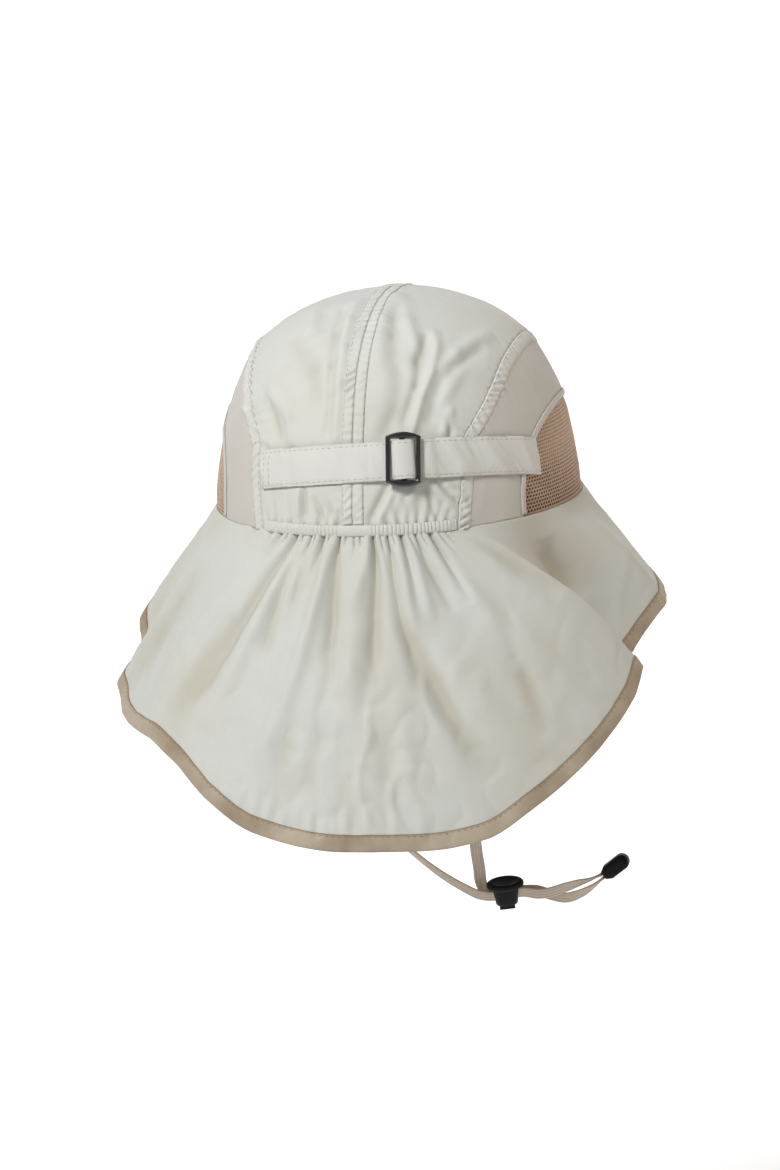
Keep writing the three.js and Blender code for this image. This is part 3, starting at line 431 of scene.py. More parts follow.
def curveThrough(rows, stepsPerSpan):
    # a centripetal curve through the route's points, with the turn of the flat side at each step
    points = np.array(rows, float)[:, :3] * mm
    turns = [row[3] for row in rows]
    ends = np.vstack([2 * points[0] - points[1], points, 2 * points[-1] - points[-2]])
    line, turn = [], []
    for i in range(len(points) - 1):
        p0, p1, p2, p3 = ends[i:i + 4]
        d0, d1, d2 = (np.linalg.norm(b - a) ** 0.5 for a, b in ((p0, p1), (p1, p2), (p2, p3)))
        m1 = ((p1 - p0) / d0 - (p2 - p0) / (d0 + d1) + (p2 - p1) / d1) * d1
        m2 = ((p2 - p1) / d1 - (p3 - p1) / (d1 + d2) + (p3 - p2) / d2) * d1
        last = i == len(points) - 2
        for t in np.linspace(0, 1, stepsPerSpan + 1)[:None if last else -1]:
            line.append(p1 + m1 * t + (3 * (p2 - p1) - 2 * m1 - m2) * t**2 + (2 * (p1 - p2) + m1 + m2) * t**3)
            turn.append(i + t)
    return np.array(line), smooth(range(len(turns)), turns, turn)


def cordSection():
    # half a turn over the ribbed front, then back under
    across = np.linspace(-0.5, 0.5, cord["sectionSteps"])
    edge = np.sqrt(np.clip(1 - np.abs(2 * across) ** cord["edgePower"], 0, 1))
    ribs = np.abs(np.sin(np.pi * cord["ribs"] * (across + 0.5))) ** cord["ribPower"]
    lift = (cord["thickness"] / 2 - cord["ribDepth"] * (1 - ribs)) * edge
    front = np.stack([across * cord["width"], lift], 1)
    return np.vstack([front, (front * [1, -1])[-2:0:-1]])


def makeCord(name, node, route):
    line, turn = curveThrough(route, cord["stepsPerSpan"])
    tangent = unit(np.gradient(line, axis=0))
    wide = unit(np.array([0, 1, 0]) - tangent * tangent[:, 1:2])
    angle = np.radians(turn)[:, None]
    thin = np.cross(tangent, wide)
    wide, thin = wide * np.cos(angle) + thin * np.sin(angle), thin * np.cos(angle) - wide * np.sin(angle)
    section = cordSection()
    rings = line[:, None] + wide[:, None] * section[None, :, :1] + thin[:, None] * section[None, :, 1:]
    length = alongLine(line)
    # painted shade in the grooves between the ribs and along the cord's thin edges
    grooves = np.broadcast_to(1 - np.abs(section[:, 1]) / np.abs(section[:, 1]).max(), rings.shape[:2])
    piece = loopedPiece(name, rings, cordElastic, paired(alongLine(section), length[:, None]),
                        np.clip(grooves * cord["grooveShade"], 0, 1))
    settle(piece, cordElastic, node)
    print(name, "is", round(float(length[-1]), 4), "m long")
    return piece, line


cordLeft, cordLeftLine = makeCord("cord_left", "chin_cord_left", cord["leftRoute"])
cordRight, cordRightLine = makeCord("cord_right", "chin_cord_right", cord["rightRoute"])


# Crown surface. The sweep runs from 0 at the rim to 1 at the top.

crown = {
    "halfWidth": 91 * mm, "halfLength": 104 * mm, "height": 104 * mm, "gap": 0.3 * mm,
    # share of the half width and length, at a share of the height
    "sections": [
        (1, 0), (0.992, 0.1), (0.976, 0.2), (0.94, 0.36), (0.876, 0.53), (0.8, 0.67), (0.705, 0.775),
        (0.585, 0.86), (0.43, 0.93), (0.26, 0.975), (0, 1), (-0.26, 0.975),
    ],
    # side seam: share of the height, share of the half width
    "seam": [
        (0, 0.52), (0.2, 0.54), (0.4, 0.545), (0.46, 0.58), (0.54, 0.625), (0.62, 0.66), (0.7, 0.682),
        (0.81, 0.725), (0.83, 2),
    ],
    "seamTop": 0.81, "seamSteps": 600, "sideSteps": 420,
    "meshHalfLength": 0.635, "meshHeight": 0.475, "meshForward": 0.048, "meshRound": 2.3,
    # angle and height share of both ends, half width and depth in millimetres, sharpness
    "folds": [
        (-20.1, 0.969, -11.4, 0.906, 4, 2, 0), (-11.4, 0.906, -7.2, 0.804, 3.4, 2.3, 0),
        (-7.2, 0.804, -5.6, 0.664, 3, 2, 0), (-5.6, 0.664, -5, 0.42, 2.8, 1.6, 0),
        (-22, 0.945, -14, 0.87, 3, -1.8, 0), (-14, 0.87, -9.6, 0.75, 2.6, -2, 0),
        (-9.6, 0.75, -8, 0.62, 2.4, -1.7, 0), (-8, 0.62, -7.6, 0.46, 2.4, -1.3, 0),
        (-60, 0.94, -32.4, 0.888, 5, 1.8, 0), (-35.7, 0.927, -25.3, 0.876, 3.6, -1.6, 0),
        (-36.8, 0.83, -17.1, 0.726, 4.5, -1.7, 0), (-17.1, 0.726, -12.8, 0.6, 4, -1.3, 0),
        (-40, 0.72, -24, 0.64, 6, 1.4, 0), (-33.5, 0.618, -21.8, 0.522, 3.2, 2.2, 0),
        (-21.8, 0.522, -19.2, 0.4, 2.8, 2, 1), (-31, 0.545, -25, 0.44, 3, -2, 0),
        (-47.2, 0.52, -31, 0.395, 2.4, 1.4, 0), (-44, 0.49, -29, 0.37, 2, -1.2, 0),
        (31.8, 0.848, 29.7, 0.786, 3.4, 1.8, 0), (29.7, 0.786, 25.5, 0.694, 2.8, 2.4, 1),
        (25.5, 0.694, 21, 0.6, 2.4, 2.7, 1), (21, 0.6, 16.6, 0.42, 2.2, 2.3, 1),
        (28.1, 0.834, 22.4, 0.75, 3, -2.4, 0), (22.4, 0.75, 20.4, 0.65, 2.6, -1.5, 0),
        (20.4, 0.65, 15, 0.5, 2.4, -1.7, 0), (29, 0.66, 22.5, 0.5, 3.2, -1.4, 0),
        (24.3, 0.979, 20.6, 0.899, 4, 1.8, 0), (20.6, 0.899, 22.4, 0.8, 3.4, 2, 0),
        (19.8, 0.984, 8, 0.912, 4.6, 1.7, 0), (8, 0.912, 7.4, 0.76, 4.4, 1.5, 0),
        (21, 0.955, 13.8, 0.86, 3.8, -1.6, 0), (13.8, 0.86, 13.4, 0.72, 4.2, -1.5, 0),
        (60.5, 0.81, 38, 0.756, 4, 2.1, 0), (38, 0.756, 28.5, 0.69, 3.4, 1.7, 0),
        (51.1, 0.768, 33, 0.7, 3, -2, 0), (36, 0.68, 27, 0.57, 3.4, 1.5, 0),
        (14.9, 0.7, 12.8, 0.55, 4.4, -1.3, 0), (12.8, 0.55, 9, 0.45, 4, -1.4, 0),
        (29.7, 0.53, 26.4, 0.42, 2.4, 1.8, 0), (28.4, 0.49, 28.6, 0.39, 1.9, -1.8, 0),
        (9.2, 0.215, 5.2, 0.085, 2, -3.2, 1), (11.4, 0.215, 7.2, 0.08, 2, 1.8, 0),
        (24.1, 0.206, 30, 0.1, 1.3, -1.8, 1), (25.7, 0.21, 30.6, 0.13, 1.2, 1.2, 0),
        (22.6, 0.2, 27.5, 0.09, 1.3, 1.1, 0), (13.4, 0.22, 12, 0.13, 2, 1.2, 0),
        (17, 0.225, 15.4, 0.15, 2, 1.3, 0), (20.1, 0.2, 22, 0.07, 1.6, -1.6, 0),
        (-15.8, 0.2, -15.4, 0.09, 1.5, 1.4, 0), (-14.2, 0.21, -14, 0.09, 1.3, -1.8, 0),
        (-10.8, 0.16, -8.2, 0.07, 1.2, -1.6, 0), (-6.8, 0.15, -4.9, 0.07, 1.3, -1.5, 0),
    ],
    # gathers over the casing: angle, top in millimetres, depth in millimetres, lean in degrees
    "gathers": [
        (-26, 15, 0.9, -1), (-23.6, 21, 1.3, -1.5), (-21, 13, 0.8, 0), (-18.3, 24, 1.7, -1),
        (-16, 14, 0.9, 0), (-14, 22, 1.6, 0.6), (-11.8, 13, 0.8, 0), (-9.6, 20, 1.5, 1.5),
        (-7.2, 16, 0.9, 1), (-4.5, 17, 2, 2), (4.8, 14, 1, 0), (9.6, 15, 1.2, -1.5),
        (12.2, 19, 1.5, 0), (14.6, 16, 1.2, 1), (17, 22, 1.6, 1.5), (19.6, 16, 1.3, 2),
        (22.2, 20, 1.3, 3), (24.6, 14, 1, 2),
    ],
    "gatherFoot": 4 * mm, "valleyWidth": 1.3 * mm, "valleySpread": 1.2 * mm, "ridgeAway": 2.9 * mm,
    "ridgeWidth": 1.7 * mm, "ridgeShare": 0.45,
    "crumple": 0.5 * mm, "crumpleSize": 24 * mm, "creaseSize": 15 * mm, "creaseDepth": 0.35 * mm,
    "puckerPitch": 5.4 * mm, "puckerDepth": 0.85 * mm, "puckerReach": 6.5 * mm, "wanderSize": 13 * mm,
    "strengthSize": 20 * mm, "middlePitch": 5.6 * mm, "middleDepth": 0.25 * mm, "middleReach": 9 * mm,
    "middleSize": 15 * mm, "pressed": 0.25 * mm,
}
profile = np.array(crown["sections"], float)
meanRadius = (crown["halfWidth"] + crown["halfLength"]) / 2
reach = alongLine(profile * [meanRadius, crown["height"]])
meridian = reach[-2]
sweeps = reach / meridian
fineSweep = np.linspace(0, 1, 1500)
fineProfile = np.stack([smooth(sweeps, profile[:, 0], fineSweep) * meanRadius,
                        smooth(sweeps, profile[:, 1], fineSweep) * crown["height"]], 1)


def rimRadius(angle):
    a = np.radians(angle)
    return 1 / np.hypot(np.sin(a) / crown["halfWidth"], np.cos(a) / crown["halfLength"])


def plainCrown(angle, sweep):
    a = np.radians(angle)
    radius = rimRadius(angle) * smooth(sweeps, profile[:, 0], sweep)
    z = smooth(sweeps, profile[:, 1], sweep) * crown["height"] + crown["gap"]
    return np.stack([-radius * np.sin(a), radius * np.cos(a), z + 0 * radius], -1)


def crownNormal(angle, sweep):
    here = np.minimum(sweep, 0.995)
    along = plainCrown(angle + 0.5, here) - plainCrown(angle - 0.5, here)
    rising = plainCrown(angle, here + 0.004) - plainCrown(angle, here - 0.004)
    return unit(np.cross(along, rising))


def sweepAt(heightShare):
    return np.interp(heightShare, fineProfile[:, 1] / crown["height"], fineSweep)


def sweepFrom(z):
    return sweepAt((z - crown["gap"]) / crown["height"])


def onCrown(points):
    # angle and sweep of the nearest place on the crown
    flat = np.reshape(points, (-1, 3))
    out = np.hypot(flat[:, 0] / crown["halfWidth"], flat[:, 1] / crown["halfLength"]) * meanRadius
    high = flat[:, 2] - crown["gap"]
    sweep = np.empty(len(flat))
    for part in np.array_split(np.arange(len(flat)), max(1, len(flat) // 4000)):
        gap = (out[part, None] - fineProfile[:, 0]) ** 2 + (high[part, None] - fineProfile[:, 1]) ** 2
        sweep[part] = fineSweep[gap.argmin(1)]
    angle = np.degrees(np.arctan2(-flat[:, 0], flat[:, 1]))
    shape = np.shape(points)[:-1]
    return angle.reshape(shape), sweep.reshape(shape)


def seamX(z):
    rows = np.array(crown["seam"], float)
    return np.interp(z / crown["height"], rows[:, 0], rows[:, 1]) * crown["halfWidth"]


def segmentDistance(points, start, end):
    way = end - start
    t = np.clip(((points - start) @ way) / (way @ way), 0, 1)
    return np.linalg.norm(points - start - t[..., None] * way, axis=-1), t


# The back strap lies over the crown and presses its folds flat.

strap = {
    "width": 18.5 * mm, "thickness": 1.2 * mm, "start": -29.5, "end": 60.0, "middleAngle": 13.0,
    "height": 0.332, "sag": 0.072, "layer": 0.3 * mm, "riseFrom": -14 * mm, "settle": 6 * mm,
    "ease": 0.25 * mm, "flatReach": 2.2, "startSlant": -0.2, "endSlant": 0.14, "slantFrom": 20 * mm,
    "stitchIn": 1.5 * mm, "endRows": (2.2 * mm, 6 * mm), "pressEase": 0.5 * mm, "pressFade": 3 * mm,
    "endFade": 2, "edgeWall": 0.02 * mm, "grooveDepth": 0.22 * mm, "grooveWidth": 0.35 * mm,
    "waveDepth": 1.1 * mm, "waveSize": 11 * mm, "creaseDepth": 0.55 * mm, "creaseSize": 9 * mm,
    "wavesFrom": 9 * mm, "wavesFull": 14 * mm, "crowning": 0.3 * mm,
    "buckleAngle": 13.9, "buckleWidth": 17 * mm, "rail": 3.3 * mm, "arch": 2.2 * mm, "side": 2.5 * mm,
    "buckleThickness": 2.6 * mm, "buckleLean": -3.5, "edgeClearance": 0.5 * mm,
    "buckleCorner": 1.6 * mm, "holeCorner": 0.8 * mm, "buckleBevel": 1.15 * mm, "barBevel": 0.4 * mm,
    "barWidth": 2.6 * mm, "barThickness": 1.6 * mm, "tabThickness": 0.8 * mm, "tabNarrower": 0.6 * mm,
    "tabEnd": 31.0, "tabFold": 12 * mm, "steps": 330, "tabSteps": 140, "columns": 25, "tabColumns": 15,
    "edgePower": 14,
}


def strapSweep(angle):
    sag = ((angle - strap["middleAngle"]) / (strap["end"] - strap["middleAngle"])) ** 2
    return sweepAt(strap["height"] - strap["sag"] * sag)


foldLines = []
for angleA, highA, angleB, highB, halfWidth, depth, sharp in crown["folds"]:
    ends = plainCrown(np.array([angleA, angleB]), sweepAt(np.array([highA, highB])))
    foldLines.append((ends[0], ends[1], halfWidth * mm, depth * mm, sharp))


def sideSeamLine(side):
    # from the back rim over the side to the front rim
    heights = np.linspace(0.0, crown["seamTop"], crown["seamSteps"])
    spread = smooth(sweeps, profile[:, 0], sweepAt(heights))
    rest = np.clip(spread**2 - (seamX(heights * crown["height"]) / crown["halfWidth"]) ** 2, 0, None)
    top = int(np.argmax(rest <= 0)) or len(rest) - 1
    yBack = np.sqrt(rest[:top + 1]) * crown["halfLength"]
    turn = np.linspace(0, np.pi, crown["sideSteps"])
    y = yBack[0] * np.cos(turn)
    high = np.interp(np.abs(y), yBack[::-1], heights[:top + 1][::-1]) * crown["height"]
    return np.stack([side * seamX(high), y, high + crown["gap"]], 1)


seamPath = sideSeamLine(1)
seamWay = alongLine(seamPath)


def seamPlace(points):
    # distance from the nearer side seam, and how far along it
    flat = np.reshape(points, (-1, 3)).copy()
    flat[:, 0] = np.abs(flat[:, 0])
    distance, way = np.empty(len(flat)), np.empty(len(flat))
    for part in np.array_split(np.arange(len(flat)), max(1, len(flat) // 4000)):
        gap = np.linalg.norm(flat[part, None] - seamPath[None], axis=-1)
        nearest = gap.argmin(1)
        distance[part], way[part] = gap[np.arange(len(part)), nearest], seamWay[nearest]
    shape = np.shape(points)[:-1]
    return distance.reshape(shape), way.reshape(shape)


def creases(field):
    # soft-topped ridges where a noise crosses zero
    return np.clip(1 - 2.2 * np.sqrt(field**2 + 0.006), 0, 1) ** 2


def crownRelief(points, angle):
    # how far the cloth stands off the plain form, in metres
    relief = np.zeros(points.shape[:-1])
    x, y, z = points[..., 0], points[..., 1], points[..., 2]
    for start, end, halfWidth, depth, sharp in foldLines:
        distance, t = segmentDistance(points, start, end)
        shape = bump(distance, halfWidth)
        if sharp:
            shape = 0.5 * shape + 0.5 * np.exp(-distance / (halfWidth * 0.55))
        relief += depth * shape * (0.55 + 0.45 * np.sin(np.pi * np.clip(t * 0.8 + 0.1, 0, 1)))
    back = y > 0
    foot = crown["gatherFoot"]
    for gather, top, depth, lean in crown["gathers"]:
        share = np.clip((z - foot) / (top * mm - foot), 0, 1)
        across = (angle - gather - lean * share) * math.radians(1) * crown["halfLength"]
        valley = bump(across, crown["valleyWidth"] + crown["valleySpread"] * share)
        ridge = bump(np.abs(across) - crown["ridgeAway"] - share * mm, crown["ridgeWidth"])
        fade = (1 - share) ** 1.3
        relief += np.where(back, (ridge * crown["ridgeShare"] - valley) * depth * mm * fade, 0)
    # puckers along the side seams, each side with its own
    distance, way = seamPlace(points)
    sideMark = np.stack([way, np.sign(x) * 50 * mm, 0 * way], -1)
    wander = cloud(sideMark, crown["wanderSize"])
    strength = np.clip(0.7 + 0.9 * cloud(sideMark, crown["strengthSize"], 3.7), 0.15, 1.4)
    wave = np.sin(2 * np.pi * (way + 0.45 * distance) / crown["puckerPitch"] + 3 * wander)
    near = np.exp(-distance / crown["puckerReach"])
    higher = 0.45 + 0.55 * rise(0.1, 0.5, z / crown["height"])
    relief += crown["puckerDepth"] * wave * near * strength * higher
    # finer puckers beside the middle seam
    way = z + 0.75 * (crown["halfLength"] - np.abs(y))
    wander = cloud(points * [0.2, 1, 1], crown["middleSize"], 8.1)
    wave = np.sin(2 * np.pi * (way * 1.1 + 0.25 * np.abs(x)) / crown["middlePitch"] + 2 * wander)
    relief += crown["middleDepth"] * wave * bump(x, crown["middleReach"])
    # crumpled cloth
    relief += crown["crumple"] * cloud(points * [1, 1, 0.6], crown["crumpleSize"], 5.3)
    relief += crown["creaseDepth"] * creases(cloud(points * [1, 1, 0.5], crown["creaseSize"], 9.2))
    # pressed flat under the strap
    fromStrap = np.abs(sweepFrom(z) - strapSweep(angle)) * meridian
    half = strap["width"] / 2
    under = 1 - rise(half - strap["pressEase"], half + strap["pressFade"], fromStrap)
    under = under * within(strap["start"], strap["end"], strap["endFade"], angle) * back
    relief -= under * np.maximum(relief + crown["pressed"], 0)
    return relief * rise(-1 * mm, 5 * mm, z)


def crownSurface(angle, sweep, lift):
    plain = plainCrown(angle, sweep)
    return plain + crownNormal(angle, sweep) * (crownRelief(plain, angle) + lift)[..., None]


# Crown panels: one fine grid over the dome, whose vertices are drawn onto the seams

panels = {"cells": 212, "thickness": 0.7 * mm, "windowScale": 50 * mm}


def domeParameters(a, b):
    # a square from -1 to 1 laid over the dome: rings of squares become rings of equal sweep
    r = np.maximum(np.abs(a), np.abs(b))
    wide = np.abs(a) >= np.abs(b)
    turn = np.where(wide, np.pi / 4 * b / np.where(a == 0, 1, a) + np.where(a < 0, np.pi, 0),
                    np.pi / 2 - np.pi / 4 * a / np.where(b == 0, 1, b) + np.where(b < 0, np.pi, 0))
    angle = np.degrees(turn) - 90
    return (angle + 180) % 360 - 180, 1 - r


def crownCuts(points):
    # signed distances to the middle seam, the side seams and the mesh windows' edges
    x, y, z = points.T
    middle = -crown["meshForward"] * crown["halfLength"]
    power = crown["meshRound"]
    along = np.abs((y - middle) / (crown["meshHalfLength"] * crown["halfLength"]))
    high = np.maximum(z, 0) / (crown["meshHeight"] * crown["height"])
    window = ((along ** power + high ** power) ** (1 / power) - 1) * panels["windowScale"]
    return x, np.abs(x) - seamX(z), window


def drawOnto(place, value, edges):
    # moves the nearer end of each edge that crosses zero onto the crossing
    first, second = edges.T
    crossing = value[first] * value[second] < 0
    first, second = first[crossing], second[crossing]
    share = value[first] / (value[first] - value[second])
    moved = np.where(share < 0.5, first, second)
    target = place[first] + (place[second] - place[first]) * share[:, None]
    order = np.argsort(-np.linalg.norm(target - place[moved], axis=1))
    place[moved[order]] = target[order]


def makeCrownPanels():
    cells = panels["cells"]
    line = np.linspace(-1, 1, cells + 1)
    place = np.stack(np.meshgrid(line, line), -1).reshape(-1, 2)
    quads = gridFaces(cells + 1, cells + 1)
    centre = place[quads].mean(1)
    turned = (centre[:, 0] * centre[:, 1] < 0)[:, None]
    triangles = np.vstack([np.where(turned, quads[:, [0, 1, 3]], quads[:, [0, 1, 2]]),
                           np.where(turned, quads[:, [1, 2, 3]], quads[:, [0, 2, 3]])])
    edges = np.vstack([triangles[:, pair] for pair in ([0, 1], [1, 2], [2, 0])])
    edges = np.unique(np.sort(edges, 1), axis=0)
    for cut in range(3):
        values = crownCuts(plainCrown(*domeParameters(*place.T)))
        value = values[cut] if cut < 2 else np.where(values[1] > -1e-9, values[2], 1.0)
        drawOnto(place, value, edges)
    angle, sweep = domeParameters(*place.T)
    plain = plainCrown(angle, sweep)
    relief = crownRelief(plain, angle)
    points = plain + crownNormal(angle, sweep) * relief[:, None]
    middle = plain[triangles].mean(1)
    x, side, window = crownCuts(middle)
    u = crown["halfWidth"] * np.arcsin(np.clip(points[:, 0] / crown["halfWidth"], -1, 1))
    v = (1 - sweep) * meridian * np.cos(np.radians(angle))
    around = np.radians(angle) * meanRadius
    for name, sign in (("left", 1), ("right", -1)):
        half = x * sign > 0
        kinds = {"crown": (side < 0, crownCloth, (u, v)),
                 "side_panel": ((side >= 0) & (window >= 0), sideCloth, (around, sweep * meridian))}
        for kind, (chosen, finish, uv) in kinds.items():
            used, faces = np.unique(triangles[half & chosen], return_inverse=True)
            # each panel carries painted shade in its fold valleys
            piece = meshPiece(f"{kind}_cloth_{name}", points[used], faces.reshape(-1, 3), finish,
                              np.stack(uv, 1)[used], panels["thickness"], hollow=paintedFoldShade(relief)[used])
            settle(piece, finish, f"{kind}_{name}")


makeCrownPanels()
print("crown panels")


# Stitches: short threads that dip at both ends

sewing = {
    "length": 2.1 * mm, "gap": 0.9 * mm, "radius": 0.17 * mm, "sides": 6,
    # places along a stitch as shares of its length, and the lift and radius there as shares of its radius
    "rings": [(0, -0.9, 0.5), (0.15, 0.3, 1), (0.5, 0.7, 1), (0.85, 0.3, 1), (1, -0.9, 0.5)],
}


def stitchRow(line, normals):
    shares, lifts, thick = np.array(sewing["rings"]).T
    length, gap, radius = sewing["length"], sewing["gap"], sewing["radius"]
    way = alongLine(line)
    places = np.arange(gap, way[-1] - length, length + gap)[:, None] + shares * length
    middle = valuesAt(places, way, line)
    normal = unit(valuesAt(places, way, normals))
    side = unit(np.cross(normal, unit(np.gradient(middle, axis=1))))
    turn = np.arange(sewing["sides"]) * 2 * np.pi / sewing["sides"]
    ring = side[:, :, None] * np.cos(turn)[:, None] + normal[:, :, None] * np.sin(turn)[:, None]
    return (middle + normal * (lifts * radius)[:, None])[:, :, None] + ring * (thick * radius)[:, None, None]


def makeStitches(name, rows, finish):
    stitches = np.concatenate([stitchRow(line, normals) for line, normals in rows])
    count = stitches.shape[1] * stitches.shape[2]
    one = loopFaces(*stitches.shape[1:3])
    faces = [[k + i * count for k in face] for i in range(len(stitches)) for face in one]
    settle(meshPiece(name, stitches, faces, finish), finish)


# Seam tapes on the crown and the folded edges of the mesh windows

tape = {
    "width": 5.4 * mm, "inner": 0.15 * mm, "sideWidth": 6.4 * mm, "windowEdge": 2.2 * mm, "lift": 0.5 * mm,
    "thickness": 0.5 * mm, "slant": 0.7, "ripplePitch": 4.4 * mm, "ripple": 0.5 * mm, "leftRipple": 0.2 * mm,
    "edgeRipple": 0.05 * mm, "unevenSize": 13 * mm, "wobbleSize": 14 * mm, "steps": 260, "foot": 0.035,
    "frontFoot": 0.005, "edgeStart": 0.02,
    # shares of the lift across a tape and across a window's edge
    "lifts": np.array([0.1, 0.7, 1, 1, 1, 1, 1, 0.7, 0.05]),
    "edgeLifts": np.array([0.1, 0.5, 0.55, 0.5, 0.4, 0.05]),
}


def middleSeamLine():
    # from above the casing over the top to the front rim
    steps = tape["steps"]
    rising, falling = np.linspace(tape["foot"], 1, steps), np.linspace(1, tape["frontFoot"], steps)
    sweep = np.concatenate([rising, falling[1:]])
    front = np.arange(len(sweep)) >= steps
    y = smooth(sweeps, profile[:, 0], sweep) * crown["halfLength"] * np.where(front, -1, 1)
    z = smooth(sweeps, profile[:, 1], sweep) * crown["height"] + crown["gap"]
    return np.stack([y * 0, y, z], 1)


def windowEdgeLine(side):
    turn = np.linspace(tape["edgeStart"], np.pi - tape["edgeStart"], tape["steps"])
    power = 2 / crown["meshRound"]
    y = np.sign(np.cos(turn)) * np.abs(np.cos(turn)) ** power * crown["meshHalfLength"] - crown["meshForward"]
    y = y * crown["halfLength"]
    high = np.sin(turn) ** power * crown["meshHeight"]
    spread = smooth(sweeps, profile[:, 0], sweepAt(high))
    x = np.sqrt(spread**2 - (y / crown["halfLength"]) ** 2) * crown["halfWidth"]
    return np.stack([side * x, y, high * crown["height"] + crown["gap"]], 1)


def tapeStrip(name, line, offsets, lifts, finish, ripple):
    # a strip of cloth that follows a line on the crown
    side = unit(np.cross(crownNormal(*onCrown(line)), unit(np.gradient(line, axis=0))))
    angle, sweep = onCrown(line[:, None] + side[:, None] * offsets[None, :, None])
    way = alongLine(line)[:, None]
    uneven = np.clip(0.7 + 1.6 * cloud(line, tape["unevenSize"], 6.1), 0, 1.5)[:, None]
    wander = 5 * cloud(line, tape["wobbleSize"], 2.2)[:, None]
    turns = 2 * np.pi * (way + tape["slant"] * offsets) / tape["ripplePitch"]
    wobble = ripple * uneven * np.sin(turns + wander)
    points = crownSurface(angle, sweep, lifts + wobble * np.sin(np.pi * np.linspace(0, 1, len(offsets))))
    faces = gridFaces(*points.shape[:2])
    settle(meshPiece(name, points, faces, finish, paired(offsets, way), tape["thickness"]), finish)
    return points, crownNormal(angle, sweep)


def tapePair(name, lines, offsets, lifts, turn, finish, ripples, sewn):
    # a strip on each side of the head; returns the lines along them that are sewn
    rows = []
    for side, sign, line, ripple, picked in zip(("left", "right"), (1, -1), lines, ripples, sewn):
        order = slice(None, None, sign * turn)
        across = (offsets * -sign * turn)[order]
        lifted = (tape["lift"] * lifts)[order]
        points, normals = tapeStrip(f"{name}_{side}", line, across, lifted, finish, ripple)
        rows += [(points[:, k], normals[:, k]) for k in picked]
    return rows


def makeSeams():
    shares = np.linspace(0, 1, 9)
    inner, ripple = tape["inner"], tape["ripple"]
    rows = tapePair("middle_seam", [middleSeamLine()] * 2, inner + shares * (tape["width"] - inner),
                    tape["lifts"], 1, crownCloth, (tape["leftRipple"], ripple), ((7,), (1,)))
    rows += tapePair("side_seam", [sideSeamLine(1), sideSeamLine(-1)], shares * tape["sideWidth"],
                     tape["lifts"], -1, crownCloth, (ripple, ripple), ((1, 7), (1, 7)))
    makeStitches("crown_stitches", rows, thread)
    rows = tapePair("window_edge", [windowEdgeLine(1), windowEdgeLine(-1)],
                    np.linspace(0.3, -1, 6) * tape["windowEdge"], tape["edgeLifts"], 1, sideCloth,
                    (tape["edgeRipple"], tape["edgeRipple"]), ((3,), (2,)))
    makeStitches("window_stitches", rows, thread)


makeSeams()
print("seams")


# Mesh windows: a net of holed cells behind the side panels

net = {
    "pitch": 2.3 * mm, "rowPitch": 1.75 * mm, "holeLow": 0.45, "holeHigh": 0.24, "fadeTo": 30 * mm,
    "under": 2.6 * mm, "depth": -0.7 * mm, "deepest": -0.15 * mm, "thickness": 0.4 * mm,
    "bottomBand": 1.2 * mm, "foot": 1.6 * mm, "from": 30, "to": 150,
    # painted shade: where the dark sheet behind the net lies
    "shadeBackingFrom": 34, "shadeBackingTo": 146, "shadeBackingTop": 50 * mm, "shadeBackingDepth": -1.3 * mm,
    "shadeBackingRows": 40, "shadeBackingColumns": 90,
}
# the corners and side middles of a cell, in halves of the pitch
cellEdge = [(-1, -1), (0, -1), (1, -1), (1, 0), (1, 1), (0, 1), (-1, 1), (-1, 0)]


def netRelief(points, angle):
    # the net follows the cloth's ridges, not its hollows, so that it clears the chin cord's end
    return np.maximum(crownRelief(points, angle), net["deepest"])


